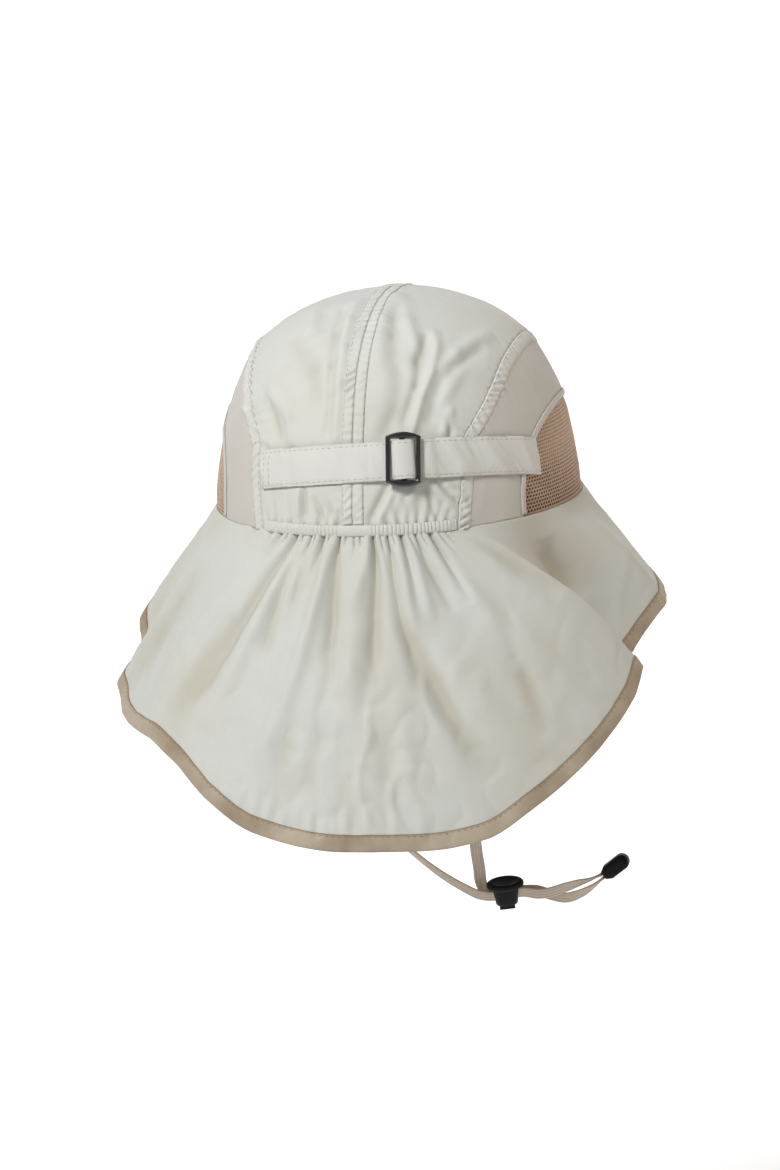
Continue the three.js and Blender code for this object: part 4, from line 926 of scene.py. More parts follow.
def makeNet(name, side):
    # places along the rim, measured round the ellipse, and up the crown
    angles = np.linspace(net["from"], net["to"], 2400)
    rim = alongLine(plainCrown(angles, angles * 0))
    pitch, rowPitch = net["pitch"], net["rowPitch"]
    columns = int(rim[-1] / pitch)
    rows = int((crown["meshHeight"] * crown["height"] + net["under"]) / rowPitch)
    points, faces, index = [], [], {}

    def corner(u, v):
        key = (round(u / pitch * 8), round(v / rowPitch * 8))
        if key not in index:
            index[key] = len(points)
            points.append((u, v))
        return index[key]

    for row in range(rows):
        for column in range(columns):
            u = (column + 0.5 * (row % 2) + 0.5) * pitch
            v = net["bottomBand"] + (row + 0.5) * rowPitch
            plain = plainCrown(np.interp(u, rim, angles), v / meridian)
            window = crownCuts(plain[None])[2][0]
            if window > net["under"] or abs(plain[0]) - seamX(plain[2]) < -net["under"]:
                continue
            outer = [corner(u + a * pitch / 2, v + b * rowPitch / 2) for a, b in cellEdge]
            hole = net["holeLow"] + (net["holeHigh"] - net["holeLow"]) * min(1, v / net["fadeTo"])
            inner = [len(points) + k for k in range(8)]
            for k in range(8):
                turn = math.pi * (k / 4 - 0.75)
                points.append((u + math.cos(turn) * hole * pitch, v + math.sin(turn) * hole * rowPitch))
            faces += [[outer[k], outer[(k + 1) % 8], inner[(k + 1) % 8], inner[k]] for k in range(8)]
    low = [k for k, (u, v) in enumerate(points) if abs(v - net["bottomBand"]) < 1e-9]
    low.sort(key=lambda k: points[k][0])
    foot = len(points)
    points += [(points[k][0], -net["foot"]) for k in low]
    for i in range(len(low) - 1):
        if points[low[i + 1]][0] - points[low[i]][0] < pitch * 0.6:
            faces.append([foot + i, foot + i + 1, low[i + 1], low[i]])
    flat = np.array(points)
    angle = np.interp(flat[:, 0], rim, angles)
    sweep = np.maximum(flat[:, 1], 0) / meridian
    surface = plainCrown(angle, sweep)
    surface[:, 2] += np.minimum(flat[:, 1], 0)
    if side > 0:
        angle, surface = -angle, surface * [-1, 1, 1]
    surface = surface + crownNormal(angle, sweep) * (net["depth"] + netRelief(surface, angle))[:, None]
    faces = np.array(faces)
    if side > 0:
        faces = faces[:, ::-1]
    piece = meshPiece(f"mesh_net_{name}", surface, faces, meshCloth, flat, net["thickness"])
    settle(piece, meshCloth, f"mesh_panel_{name}")
    # painted shade: a dark brown sheet behind the holes stands in for the shade inside the hat
    around, high = np.meshgrid(np.linspace(net["shadeBackingFrom"], net["shadeBackingTo"], net["shadeBackingColumns"]) * -side,
                               np.linspace(-net["foot"], net["shadeBackingTop"], net["shadeBackingRows"]))
    sweep = np.maximum(high, 0) / meridian
    inner = plainCrown(around, sweep)
    inner = inner + crownNormal(around, sweep) * (net["shadeBackingDepth"] + netRelief(inner, around))[..., None]
    inner[..., 2] += np.minimum(high, 0)
    settle(meshPiece(f"mesh_shade_backing_{name}", inner, gridFaces(*high.shape), shadeBackingCloth,
                     paired(around * mm, high)), shadeBackingCloth)


makeNet("left", 1)
makeNet("right", -1)
print("mesh windows")


# Elastic casing: a narrow tunnel drawn up into ribs

casing = {
    "height": 5 * mm, "thickness": 1.3 * mm, "wall": 0.4 * mm, "lift": 0.25 * mm, "ribDepth": 0.75 * mm,
    "ribPitch": 1.9 * mm, "ribPower": 0.7, "driftSize": 7 * mm, "drift": 1.1, "gather": 0.85,
    "start": -27.0, "end": 27.6, "endFade": 2.5, "endShare": 0.35, "plainFrom": -3.4, "plainTo": 4.2,
    "edgePower": 0.35, "columns": 560, "rows": 13, "sewnRow": 10,
}


def makeCasing():
    angle = np.linspace(casing["start"], casing["end"], casing["columns"])
    way = np.radians(angle) * crown["halfLength"]
    drift = cloud(np.stack([way, way * 0, way * 0], 1), casing["driftSize"], 1.3) * casing["drift"]
    ribs = np.abs(np.sin(np.pi * way / casing["ribPitch"] + drift)) ** casing["ribPower"]
    gathered = 1 - casing["gather"] * within(casing["plainFrom"], casing["plainTo"], 1, angle)
    fade = casing["endFade"]
    ends = within(casing["start"] + fade, casing["end"] - fade, fade, angle)
    share = np.linspace(0, 1, casing["rows"])[:, None]
    curve = np.sin(np.pi * np.clip(share, 0.02, 0.98)) ** casing["edgePower"]
    thick = casing["thickness"] - casing["ribDepth"] * (1 - ribs) * gathered
    lift = casing["lift"] + thick * curve * (casing["endShare"] + (1 - casing["endShare"]) * ends)
    angles, sweep = np.meshgrid(angle, share[:, 0] * casing["height"] / meridian)
    normal = crownNormal(angles, sweep)
    points = plainCrown(angles, sweep) + normal * lift[..., None]
    piece = meshPiece("casing_cloth", points, gridFaces(*angles.shape)[:, ::-1], crownCloth,
                      paired(way, share * casing["height"]), casing["wall"])
    settle(piece, crownCloth, "elastic_casing")
    row = casing["sewnRow"]
    makeStitches("casing_stitches", [(points[row] + normal[row] * 0.05 * mm, normal[row])], thread)


makeCasing()
print("elastic casing")


# Flap and brim: one skirt round the head, with t from 0 at the rim to 1 at the hem

skirt = {
    "reach": 60 * mm, "drop": 137 * mm, "visor": 78 * mm, "bulge": 9 * mm, "endAngle": 112.0,
    "seat": 0.7 * mm,
    # angle at the hem, angle at the rim, shares of reach, visor, drop and bulge
    "rows": [
        (-180, -180, 0, 1, 0.228, 0), (-165, -165, 0.02, 0.92, 0.25, 0), (-150, -150, 0.2, 0.62, 0.3, 0),
        (-130, -130, 0.5, 0.16, 0.345, 0), (-112, -110, 0.69, 0, 0.37, 0), (-97, -94, 0.72, 0, 0.41, 0),
        (-88, -82, 0.765, 0, 0.453, 0), (-82, -74, 0.71, 0, 0.518, 0), (-76, -66, 0.71, 0, 0.584, 0),
        (-70, -58, 0.81, 0, 0.577, 0.1), (-65, -51, 0.9, 0, 0.609, 0.2), (-57, -41, 0.91, 0, 0.679, 0.3),
        (-50, -32, 0.92, 0, 0.693, 0.3), (-42, -24, 0.96, 0, 0.69, 0.3), (-33, -18, 1, 0, 0.735, 0.3),
        (-24, -12.5, 1.01, 0, 0.854, 0.3), (-15, -8, 1, 0, 0.946, 0.3), (0, 0, 0.985, 0, 0.996, 0.3),
        (15, 8, 1, 0, 0.998, 0.3), (24, 12.5, 1.01, 0, 0.978, 0.3), (33, 17, 1.005, 0, 0.893, 0.3),
        (42, 21.5, 0.99, 0, 0.798, 0.4), (50, 25, 0.953, 0, 0.708, 0.65), (58, 28, 0.913, 0, 0.61, 0.9),
        (64, 31.5, 0.83, 0, 0.536, 1), (70, 39, 0.63, 0, 0.562, -0.2), (78, 52, 0.45, 0, 0.555, -0.65),
        (84, 64, 0.523, 0, 0.489, 0), (90, 76, 0.67, 0, 0.404, 0.3), (97, 88, 0.645, 0, 0.4, 0.1),
        (112, 108, 0.6, 0, 0.38, 0), (130, 129, 0.46, 0.16, 0.355, 0), (150, 150, 0.18, 0.62, 0.305, 0),
        (165, 165, 0.02, 0.92, 0.25, 0),
    ],
    # hem angle at the top and low end, shares of the way down there, half width in degrees, depth in mm
    "folds": [
        (-31.5, -34.2, 0, 0.78, 2.8, -3.6), (-37, -39, 0.35, 1.02, 5, -2.4),
        (-27.8, -29.4, 0.03, 0.82, 2.5, 3), (-27.6, -23.6, 0, 0.45, 1.9, -2.2),
        (-10.2, -14.6, -0.03, 0.72, 2.2, 3), (-6.9, -3.6, 0, 0.56, 2.6, -3), (8, 1, -0.02, 0.24, 2.4, 1.6),
        (1.6, 0.8, 0.1, 0.64, 3.6, 2.2), (10.9, 5, 0, 0.58, 2.6, -3), (21.6, 18.6, 0, 0.34, 2.4, 2.6),
        (16.1, 18.2, 0, 0.52, 2.2, -2.4), (39.2, 39.6, 0, 0.3, 2, -2.8), (36.6, 46, 0, 0.66, 3.6, 3),
        (18.3, 28.2, 0.27, 0.85, 3, -3.2), (25, 37, 0.35, 0.88, 3.6, 2.2),
        (43.8, 40.4, 0.4, 0.84, 2.4, -2), (46.5, 50.5, 0.4, 1, 3, 1.7), (-13.8, -10, 0.55, 1.03, 3, -2),
        (-19, -17, 0.4, 1, 3, 2), (0.6, 3.6, 0.76, 0.99, 1.3, -0.8), (-20, -22, 0.05, 0.5, 2.4, -2),
        (-23, -19.5, 0.1, 0.5, 2, 1.6), (-45, -47, 0.1, 1.1, 5, 2.4), (-42, -44.5, 0.15, 0.9, 3, 1.5),
        (79.2, 78, 0.14, 0.58, 2.6, -3.2), (60.5, 62, 0.05, 0.5, 4, -2.4), (88, 90, 0.1, 0.9, 4, 1.8),
        (-60, -62, 0.2, 1.1, 4, -2), (-80, -78, 0.2, 1.1, 4, 1.6), (8, 9.5, 0.62, 1, 2.2, -1),
        (12.4, 14, 0.5, 0.95, 2.4, 1.5), (31, 33.5, 0.02, 0.3, 2.2, -2), (27, 26, 0.02, 0.3, 2, 1.8),
        (-2.6, -6.4, 0.5, 0.85, 2.4, -1.5),
    ],
    # gathers under the casing: hem angle, length share, depth in mm, half width in degrees
    "gathers": [
        (-50, 0.08, 0.7, 1.6), (-43, 0.12, 1, 1.1), (-38.5, 0.2, 1.7, 1.4), (-34.4, 0.09, 1.1, 0.7),
        (-30.4, 0.22, 2.3, 1.5), (-26.6, 0.07, 0.9, 0.6), (-22.2, 0.13, 1.9, 1), (-19.4, 0.07, 1, 0.6),
        (-15.2, 0.24, 2.6, 1.5), (-11.6, 0.07, 1, 0.6), (-6.6, 0.14, 2.4, 1.1), (-3.6, 0.06, 1, 0.7),
        (0.4, 0.07, 1.2, 0.7), (3.4, 0.05, 0.9, 0.6), (9.6, 0.2, 2.8, 1.4), (13.2, 0.07, 1.1, 0.6),
        (17, 0.15, 2.2, 1), (19.6, 0.06, 1, 0.6), (24, 0.2, 2.3, 1.5), (28, 0.07, 1, 0.6),
        (31.6, 0.12, 1.9, 1), (34.6, 0.06, 1, 0.6), (39.4, 0.2, 1.8, 1.5), (44.2, 0.09, 1.1, 0.8),
        (48.6, 0.06, 0.8, 0.8),
    ],
    "hemPuckers": [
        (-25, 0.7), (-21.4, 0.9), (-18.6, 1.1), (-16, 1), (-13, 1.2), (-10.4, 1.4), (-7.8, 1), (-5.2, 1.4),
        (-2.8, 1.1), (0.8, 0.9), (4.6, 1.2), (9.4, 1.1), (14, 0.7),
    ],
    "thickness": 0.7 * mm, "crumple": 0.7 * mm, "crumpleSize": 30 * mm, "tuck": -0.016,
    # creases: depth, size and shortening along the flap, noise seed
    "creases": [(0.6 * mm, 17 * mm, 0.4, 7.7), (-0.36 * mm, 13 * mm, 0.8, 2.1)],
    # puckers at the hem: half width in degrees, share of the way down and half height
    "puckerShape": (0.8, 0.93, 0.05),
    # the most crumpled place: angle, half width, shares of the way down where it grows, and how much
    "crumpled": (4, 20, 0.3, 0.65, 1.5),
    "fineFrom": -58, "fineTo": 60, "flapColumns": (70, 270, 78), "flapRows": 104, "brimColumns": 170,
    "brimRows": 46, "tapeColumns": 620,
}
skirtTable = np.array(skirt["rows"], float)
skirtTable = np.vstack([skirtTable, skirtTable + [360, 360, 0, 0, 0, 0]])


def plainSkirt(angle, t):
    base, reachShare, visorShare, dropShare, bulgeShare = (
        smooth(skirtTable[:, 0], skirtTable[:, k], angle) for k in range(1, 6))
    rim = rimRadius(base)
    hem = rimRadius(angle) + reachShare * skirt["reach"] + visorShare * skirt["visor"]
    a, b = np.radians(angle), np.radians(base)
    top = np.stack([-rim * np.sin(b), rim * np.cos(b), rim * 0 - skirt["seat"]], -1)
    low = np.stack([-hem * np.sin(a), hem * np.cos(a), -dropShare * skirt["drop"]], -1)
    fall = low - top
    outward = np.stack([-np.sin(a), np.cos(a), a * 0], -1)
    lift = -outward * fall[..., 2:]
    lift[..., 2] = (fall * outward).sum(-1)
    bulge = bulgeShare * skirt["bulge"] * np.sin(np.pi * np.minimum(t, 1))
    return top + fall * t[..., None] + unit(lift) * bulge[..., None]


def skirtRelief(angle, t, plain):
    relief = np.zeros(np.shape(angle))
    for top, low, start, end, halfWidth, depth in skirt["folds"]:
        share = np.clip((t - start) / (end - start), 0, 1)
        fade = np.clip(np.sin(np.pi * share), 0, None) ** 0.7
        relief += depth * mm * fade * bump(angle - top - (low - top) * share, halfWidth)
    for gather, length, depth, halfWidth in skirt["gathers"]:
        share = np.clip(t / length, 0, 1)
        across = angle - gather - 1.2 * share * np.sign(gather)
        valley = bump(across, halfWidth * (0.85 + share))
        ridge = bump(np.abs(across) - halfWidth * (1.8 + share), halfWidth)
        relief += depth * mm * (1 - share) ** 1.4 * (0.4 * ridge - valley)
    halfWidth, down, halfHeight = skirt["puckerShape"]
    for middle, depth in skirt["hemPuckers"]:
        relief += depth * mm * bump(angle - middle, halfWidth) * bump(t - down, halfHeight)
    place, reachOut, growFrom, growTo, growth = skirt["crumpled"]
    strength = rise(0.02, 0.3, t) * (1 + growth * bump(angle - place, reachOut) * rise(growFrom, growTo, t))
    relief += skirt["crumple"] * strength * cloud(plain * [1, 1, 0.45], skirt["crumpleSize"], 4.4)
    for depth, size, shortened, seed in skirt["creases"]:
        relief += depth * strength * creases(cloud(plain * [1, 1, shortened], size, seed))
    return relief


def skirtNormal(angle, t):
    across = plainSkirt(angle + 0.25, t) - plainSkirt(angle - 0.25, t)
    down = plainSkirt(angle, t + 0.01) - plainSkirt(angle, t - 0.01)
    return unit(np.cross(down, across))


def skirtSurface(angle, t, lift):
    plain = plainSkirt(angle, t)
    return plain + skirtNormal(angle, t) * (skirtRelief(angle, t, plain) + lift)[..., None]


def skirtLength(angle):
    return np.linalg.norm(plainSkirt(angle, angle * 0 + 1) - plainSkirt(angle, angle * 0), axis=-1)


binding = {
    "width": 7 * mm, "thickness": 0.65 * mm, "gap": 0.2 * mm, "wrap": 0.35 * mm, "pressed": 0.2 * mm,
    "stitchIn": 1.2 * mm, "ripple": 0.22 * mm, "rippleSize": 6 * mm, "edgeShade": 2, "shadeFrom": (0.9, 0.97),
    # the outer face from its inner edge to the fold: shares of the width and of the face's height
    "face": [(0.95, 1), (0.86, 0.95), (0.75, 1.1), (0.5, 1.16), (0.2, 1.08)],
}


def makeSkirtSheet(name, node, angles, rows, finish):
    t = np.linspace(skirt["tuck"], 1, rows)
    angle, down = np.meshgrid(angles, t)
    length = skirtLength(angles)
    # the cloth lies a little deeper inside the tape along its hem
    taped = 1 - rise(binding["width"] * 0.8, binding["width"], (1 - down) * length)
    points = skirtSurface(angle, down, -binding["pressed"] * taped)
    uv = paired(alongLine(points[rows // 2]), t[:, None] * length)
    # painted shade in the fold valleys of the flap and brim
    hollow = paintedFoldShade(skirtRelief(angle, down, plainSkirt(angle, down)))
    faces = gridFaces(rows, len(angles))
    piece = meshPiece(name, points, faces, finish, uv, skirt["thickness"], hollow=hollow)
    settle(piece, finish, node)
    widths = np.linalg.norm(np.diff(points, axis=1), axis=-1)
    tall = np.linalg.norm(np.diff(points, axis=0), axis=-1)
    area, hem, rim = (widths[:-1] * tall[:, :-1]).sum(), widths[-1].sum(), widths[0].sum()
    print(f"{name} area {area:.4f} m2, hem {hem:.3f} m, rim {rim:.3f} m")
    return piece


def makeBinding(name, node, angles):
    # a tape folded over the hem: its section as distance in from the hem and lift off the cloth's outer face
    wide, thick, gap = binding["width"], binding["thickness"], binding["gap"]
    inside = -skirt["thickness"] - binding["pressed"] - gap
    top, bottom = gap + thick, inside - thick
    turn = np.linspace(np.pi / 2, -np.pi / 2, 9)
    middle, radius = (top + bottom) / 2, (top - bottom) / 2
    fold = np.stack([-binding["wrap"] - thick * np.cos(turn), middle + radius * np.sin(turn)], 1)
    front = [(wide, gap), (wide + 0.05 * mm, top * 0.8)] + [(wide * a, top * b) for a, b in binding["face"]]
    rear = [(wide * 0.5, bottom), (wide, bottom), (wide, inside), (0, inside), (0, gap)]
    section = np.array(front + fold.tolist() + rear)
    length = skirtLength(angles)[:, None]
    angle, t = np.broadcast_arrays(angles[:, None], 1 - section[:, 0] / length)
    hem = plainSkirt(angles, angles * 0 + 1)
    ripple = (cloud(hem, binding["rippleSize"], 2.9)[:, None] + 1) * binding["ripple"]
    points = skirtSurface(angle, t, section[:, 1] + ripple * np.clip((section[:, 1] - middle) / radius, 0, 1))
    # painted shade: darker where the tape's inner edge meets the cloth
    edge = rise(*(wide * share for share in binding["shadeFrom"]), section[:, 0]) * (section[:, 1] > 0)
    piece = loopedPiece(name, points, tapeCloth, paired(alongLine(hem)[:, None], alongLine(section)),
                        np.broadcast_to(edge * binding["edgeShade"], points.shape[:2]))
    settle(piece, tapeCloth, node)
    place = 1 - (wide - binding["stitchIn"]) / length[:, 0]
    return piece, (skirtSurface(angles, place, angles * 0 + top + 0.05 * mm), skirtNormal(angles, place))


def makeSkirt():
    end = skirt["endAngle"]
    # finer where the flap is gathered
    stops = [-end, skirt["fineFrom"], skirt["fineTo"], end]
    spans = [np.linspace(*span) for span in zip(stops, stops[1:], skirt["flapColumns"])]
    backAngles = np.concatenate([spans[0], spans[1][1:], spans[2][1:]])
    brimAngles = np.linspace(end, 360 - end, skirt["brimColumns"])
    hemAngles = np.linspace(-end, end, skirt["tapeColumns"])
    flap = makeSkirtSheet("flap_cloth", "neck_flap", backAngles, skirt["flapRows"], flapCloth)
    brim = makeSkirtSheet("brim_cloth", "brim", brimAngles, skirt["brimRows"], flapCloth)
    flapTape, flapThread = makeBinding("flap_tape", "flap_binding", hemAngles)
    brimTape, brimThread = makeBinding("brim_tape", "brim_binding", brimAngles)
    makeStitches("hem_stitches", [flapThread, brimThread], tanThread)
    return flap, brim, flapTape, brimTape


flapPiece, brimPiece, flapTapePiece, brimTapePiece = makeSkirt()
print("flap and brim")


# Back strap, tab and slide buckle. Ribbons follow distance along the head from the buckle's middle.

buckleAngle, buckleSweep = strap["buckleAngle"], sweepAt(strap["height"])
buckleOut = crownNormal(np.array(buckleAngle), np.array(buckleSweep))
buckleCentre = plainCrown(np.array(buckleAngle), np.array(buckleSweep))
oneDegree = plainCrown(buckleAngle + 0.5, buckleSweep) - plainCrown(buckleAngle - 0.5, buckleSweep)
perDegree = np.linalg.norm(oneDegree)
buckleAlong = unit(oneDegree)
buckleUp = np.cross(buckleOut, buckleAlong)
sideMiddle = strap["buckleWidth"] / 2 - strap["side"] / 2
sideInner = strap["buckleWidth"] / 2 - strap["side"]
barHalf = strap["barWidth"] / 2
layer = strap["layer"]
tabLift = layer + strap["tabThickness"] / 2
tabFoldLift = tabLift + strap["tabThickness"] + layer
strapLift = layer * 2 + strap["thickness"] / 2
strapOverTab = tabLift + strap["tabThickness"] / 2 + layer + strap["thickness"] / 2
strapOverFold = tabFoldLift + strap["tabThickness"] / 2 + layer + strap["thickness"] / 2
buckleLift = strapOverFold + strap["thickness"] / 2 + layer
barBottom = tabFoldLift + strap["tabThickness"] + layer * 1.5
barTop = barBottom + strap["barThickness"]
loopReach = layer + strap["tabThickness"] / 2
loopTop = barTop + loopReach
strapTop = loopTop + strap["tabThickness"] / 2 + layer + strap["thickness"] / 2
barMiddle = (barBottom + barTop) / 2


def strapPath():
    ease = strap["ease"]
    start, end, tabEnd = ((strap[key] - buckleAngle) * perDegree for key in ("start", "end", "tabEnd"))
    path = [(start + (strap["riseFrom"] - start) * i / 9, strapLift) for i in range(10)]
    path += [(-sideMiddle - ease * 4, strapLift * 1.6), (-sideInner - ease, strapLift * 2.1)]
    path += [(-sideInner + ease * 2.4, barMiddle - ease), (-sideInner + ease * 4, loopTop - ease)]
    path += [(-sideInner + ease * 8, strapTop - ease * 2), (-barHalf, strapTop + ease)]
    path += [(barHalf, strapTop + ease), (sideInner - ease * 8, strapTop - ease * 2)]
    path += [(sideInner - ease * 4, loopTop - ease)]
    path += [(sideInner - ease * 2, barMiddle), (sideInner + ease, strapOverFold + ease)]
    path += [(sideMiddle + ease * 2, strapOverFold)]
    path += [(strap["tabFold"] + mm, strapOverFold), (strap["tabFold"] + strap["settle"], strapOverTab)]
    path += [(tabEnd, strapOverTab)]
    settled = tabEnd + strap["settle"]
    return np.array(path + [(settled + (end - settled) * i / 6, strapLift) for i in range(7)])


def tabPath():
    end = (strap["tabEnd"] - buckleAngle) * perDegree
    ease = strap["ease"]
    path = [(end, tabLift), ((end + 6 * mm) / 2, tabLift), (6 * mm, tabLift), (3.4 * mm, tabLift + ease * 2),
            (1.2 * mm, barBottom - loopReach - ease), (-0.6 * mm, barBottom - loopReach),
            (-barHalf - loopReach * 0.8, barBottom - loopReach * 0.5), (-barHalf - loopReach, barMiddle),
            (-barHalf - loopReach * 0.5, loopTop - ease), (0, loopTop),
            (barHalf + loopReach * 0.5, loopTop - ease),
            (barHalf + loopReach, barMiddle), (3.2 * mm, barBottom), (5 * mm, tabFoldLift + ease),
            (7 * mm, tabFoldLift), (strap["tabFold"], tabFoldLift)]
    return np.array(path)


def softened(path, count):
    # the path rounded by corner cutting, then evenly spaced
    for _ in range(3):
        cut = np.empty((2 * len(path) - 2, 2))
        cut[0::2] = path[:-1] * 0.75 + path[1:] * 0.25
        cut[1::2] = path[:-1] * 0.25 + path[1:] * 0.75
        path = np.vstack([path[:1], cut, path[-1:]])
    return resample(path, count)


def ribbonPoints(path, corners, relief):
    # corners are (up, off) pairs round the section, relief(along, up) is added to the outer face
    slope = unit(np.gradient(path, axis=0))
    run, lean = slope[:, :1], slope[:, 1:]
    cornerUp, cornerOff = corners[None, :, 0], corners[None, :, 1]
    place = path[:, :1] - lean * cornerOff
    first, last = path[0, 0], path[-1, 0]
    startShare = np.clip((place + strap["slantFrom"]) / (first + strap["slantFrom"]), 0, 1)
    endShare = np.clip((place - strap["slantFrom"]) / (last - strap["slantFrom"]), 0, 1)
    place = place + (strap["startSlant"] * startShare + strap["endSlant"] * endShare) * cornerUp
    angle = buckleAngle + place / perDegree
    sweep = strapSweep(angle) + cornerUp / meridian
    off = path[:, 1:] + run * (cornerOff + relief(place, cornerUp) * (cornerOff > 0))
    curved = plainCrown(angle, sweep) + crownNormal(angle, sweep) * off[..., None]
    straight = (buckleCentre + buckleAlong * place[..., None] + buckleUp * (cornerUp + 0 * place)[..., None]
                + buckleOut * off[..., None])
    flatness = np.clip(strap["flatReach"] - np.abs(path[:, :1]) / sideMiddle, 0, 1)[..., None]
    return curved * (1 - flatness) + straight * flatness


def ribbonSection(width, thickness, columns):
    across = np.linspace(-0.5, 0.5, columns)
    edge = np.clip(1 - np.abs(2 * across) ** strap["edgePower"], 0, 1) ** 0.5
    face = np.stack([across * width, edge * thickness / 2 + strap["edgeWall"]], 1)
    return np.vstack([face, (face * [1, -1])[::-1]])


def makeRibbon(name, node, path, section, relief):
    points = ribbonPoints(path, section, relief)
    way = alongLine(points[:, len(section) // 4])[:, None]
    settle(loopedPiece(name, points, strapCloth, paired(way, alongLine(section))), strapCloth, node)


def strapRelief(along, upward):
    # soft waves in the strap, and grooves where its edges are sewn
    fromStitches = np.abs(upward) - (strap["width"] / 2 - strap["stitchIn"])
    groove = -strap["grooveDepth"] * bump(fromStitches, strap["grooveWidth"])
    flat = np.stack(np.broadcast_arrays(along, upward, 0 * along), -1)
    leaning = flat * [1, 0.55, 1] + flat[..., 1:2] * [0.5, 0, 0]
    waves = strap["waveDepth"] * cloud(leaning, strap["waveSize"], 3.1)
    waves = waves + strap["creaseDepth"] * creases(cloud(leaning, strap["creaseSize"], 5.7))
    waves = waves * rise(strap["wavesFrom"], strap["wavesFull"], np.abs(along))
    return groove + waves - strap["crowning"] * (2 * upward / strap["width"]) ** 2


def makeStrap():
    path = softened(strapPath(), strap["steps"])
    section = ribbonSection(strap["width"], strap["thickness"], strap["columns"])
    makeRibbon("strap_cloth", "back_strap", path, section, strapRelief)
    tab = softened(tabPath(), strap["tabSteps"])
    section = ribbonSection(strap["width"] - strap["tabNarrower"], strap["tabThickness"], strap["tabColumns"])
    makeRibbon("tab_cloth", "buckle_tab", tab, section, lambda along, up: 0 * along * up)
    lines, face = [], strap["thickness"] / 2 + strap["edgeWall"]
    for sign in (-1, 1):
        corner = np.array([[sign * (strap["width"] / 2 - strap["stitchIn"]), face]])
        lines.append(ribbonPoints(path, corner, strapRelief)[:, 0])
    for inward in strap["endRows"]:
        # the two rows that sew the fixed end down
        place = path[0, 0] + inward
        ends = np.linspace(-1, 1, 30)[:, None] * [strap["width"] / 2 - mm, 0] + [0, face]
        short = np.array([[place, strapLift], [place + 0.1 * mm, strapLift]])
        lines.append(ribbonPoints(short, ends, strapRelief)[0])
    makeStitches("strap_stitches", [(line, crownNormal(*onCrown(line))) for line in lines], thread)


makeStrap()
print("strap")


def evaluated(piece, name):
    # the piece's mesh with its modifiers, as a new object
    mesh = bpy.data.meshes.new_from_object(piece.evaluated_get(bpy.context.evaluated_depsgraph_get()))
    bpy.data.objects.remove(piece)
    made = bpy.data.objects.new(name, mesh)
    bpy.context.scene.collection.objects.link(made)
    return made


def outlineCurve(name, outlines, halfDepth, bevel, steps=4):
    # a flat plate with rounded edges, from closed outlines in its own XY plane
    data = bpy.data.curves.new(name, "CURVE")
    data.dimensions, data.fill_mode = "2D", "BOTH"
    data.extrude, data.bevel_depth, data.bevel_resolution = halfDepth - bevel, bevel, steps
    data.offset = -bevel
    for outline in outlines:
        spline = data.splines.new("POLY")
        spline.points.add(len(outline) - 1)
        places = np.column_stack([outline, np.zeros(len(outline)), np.ones(len(outline))])
        spline.points.foreach_set("co", places.ravel())
        spline.use_cyclic_u = True
    piece = bpy.data.objects.new(name, data)
    bpy.context.scene.collection.objects.link(piece)
    bpy.context.view_layer.update()
    return piece


def rounded(corners, radius, steps=6):
    # a closed outline with its corners rounded
    points = []
    corners = np.array(corners, float)
    for i, corner in enumerate(corners):
        before, after = corners[i - 1] - corner, corners[(i + 1) % len(corners)] - corner
        cut = min(radius, np.linalg.norm(before) / 2.2, np.linalg.norm(after) / 2.2)
        first, last = corner + unit(before) * cut, corner + unit(after) * cut
        for t in np.linspace(0, 1, steps):
            points.append(first * (1 - t) ** 2 + 2 * corner * t * (1 - t) + last * t**2)
    return np.array(points)


def placed(piece, finish, matrix):
    piece.data.materials.clear()
    piece.data.materials.append(finish.material)
    piece.data.transform(matrix)
    piece.data.update()
    for polygon in piece.data.polygons:
        polygon.use_smooth = True
    return piece


def makeBuckle():
    opening = strap["width"] + strap["edgeClearance"] * 2
    half, edge = strap["buckleWidth"] / 2, opening / 2 + strap["rail"]
    sideEdge = edge - strap["arch"]
    turn = np.linspace(-1, 1, 15)
    arch = np.stack([turn * half, sideEdge + strap["arch"] * (1 - turn**2)], 1)
    outer = rounded(np.vstack([arch, (arch * [1, -1])[::-1]]), strap["buckleCorner"])
    hole = rounded(square * [sideInner, opening / 2], strap["holeCorner"])
    halfDepth, bevel = strap["buckleThickness"] / 2, strap["buckleBevel"]
    plate = outlineCurve("buckle_plate", [outer, hole[::-1]], halfDepth, bevel, 6)
    axes = Matrix(np.column_stack([buckleAlong, buckleUp, buckleOut]).tolist()).to_4x4()
    matrix = Matrix.Translation(Vector(buckleCentre)) @ axes
    leaning = Matrix.Rotation(math.radians(strap["buckleLean"]), 4, "Z")
    above = Matrix.Translation((0, 0, buckleLift + halfDepth))
    ring = placed(evaluated(plate, "buckle_frame"), glossPlastic, matrix @ above @ leaning)
    settle(ring, glossPlastic, "slide_buckle")
    barOutline = rounded(square * [barHalf, (opening + strap["rail"] * 0.9) / 2], strap["barBevel"])
    bar = outlineCurve("bar_plate", [barOutline], strap["barThickness"] / 2, strap["barBevel"])
    settle(placed(evaluated(bar, "buckle_bar"), glossPlastic, matrix @ Matrix.Translation((0, 0, barMiddle))),
           glossPlastic)


makeBuckle()
print("buckle")


# Spring lock and cord end

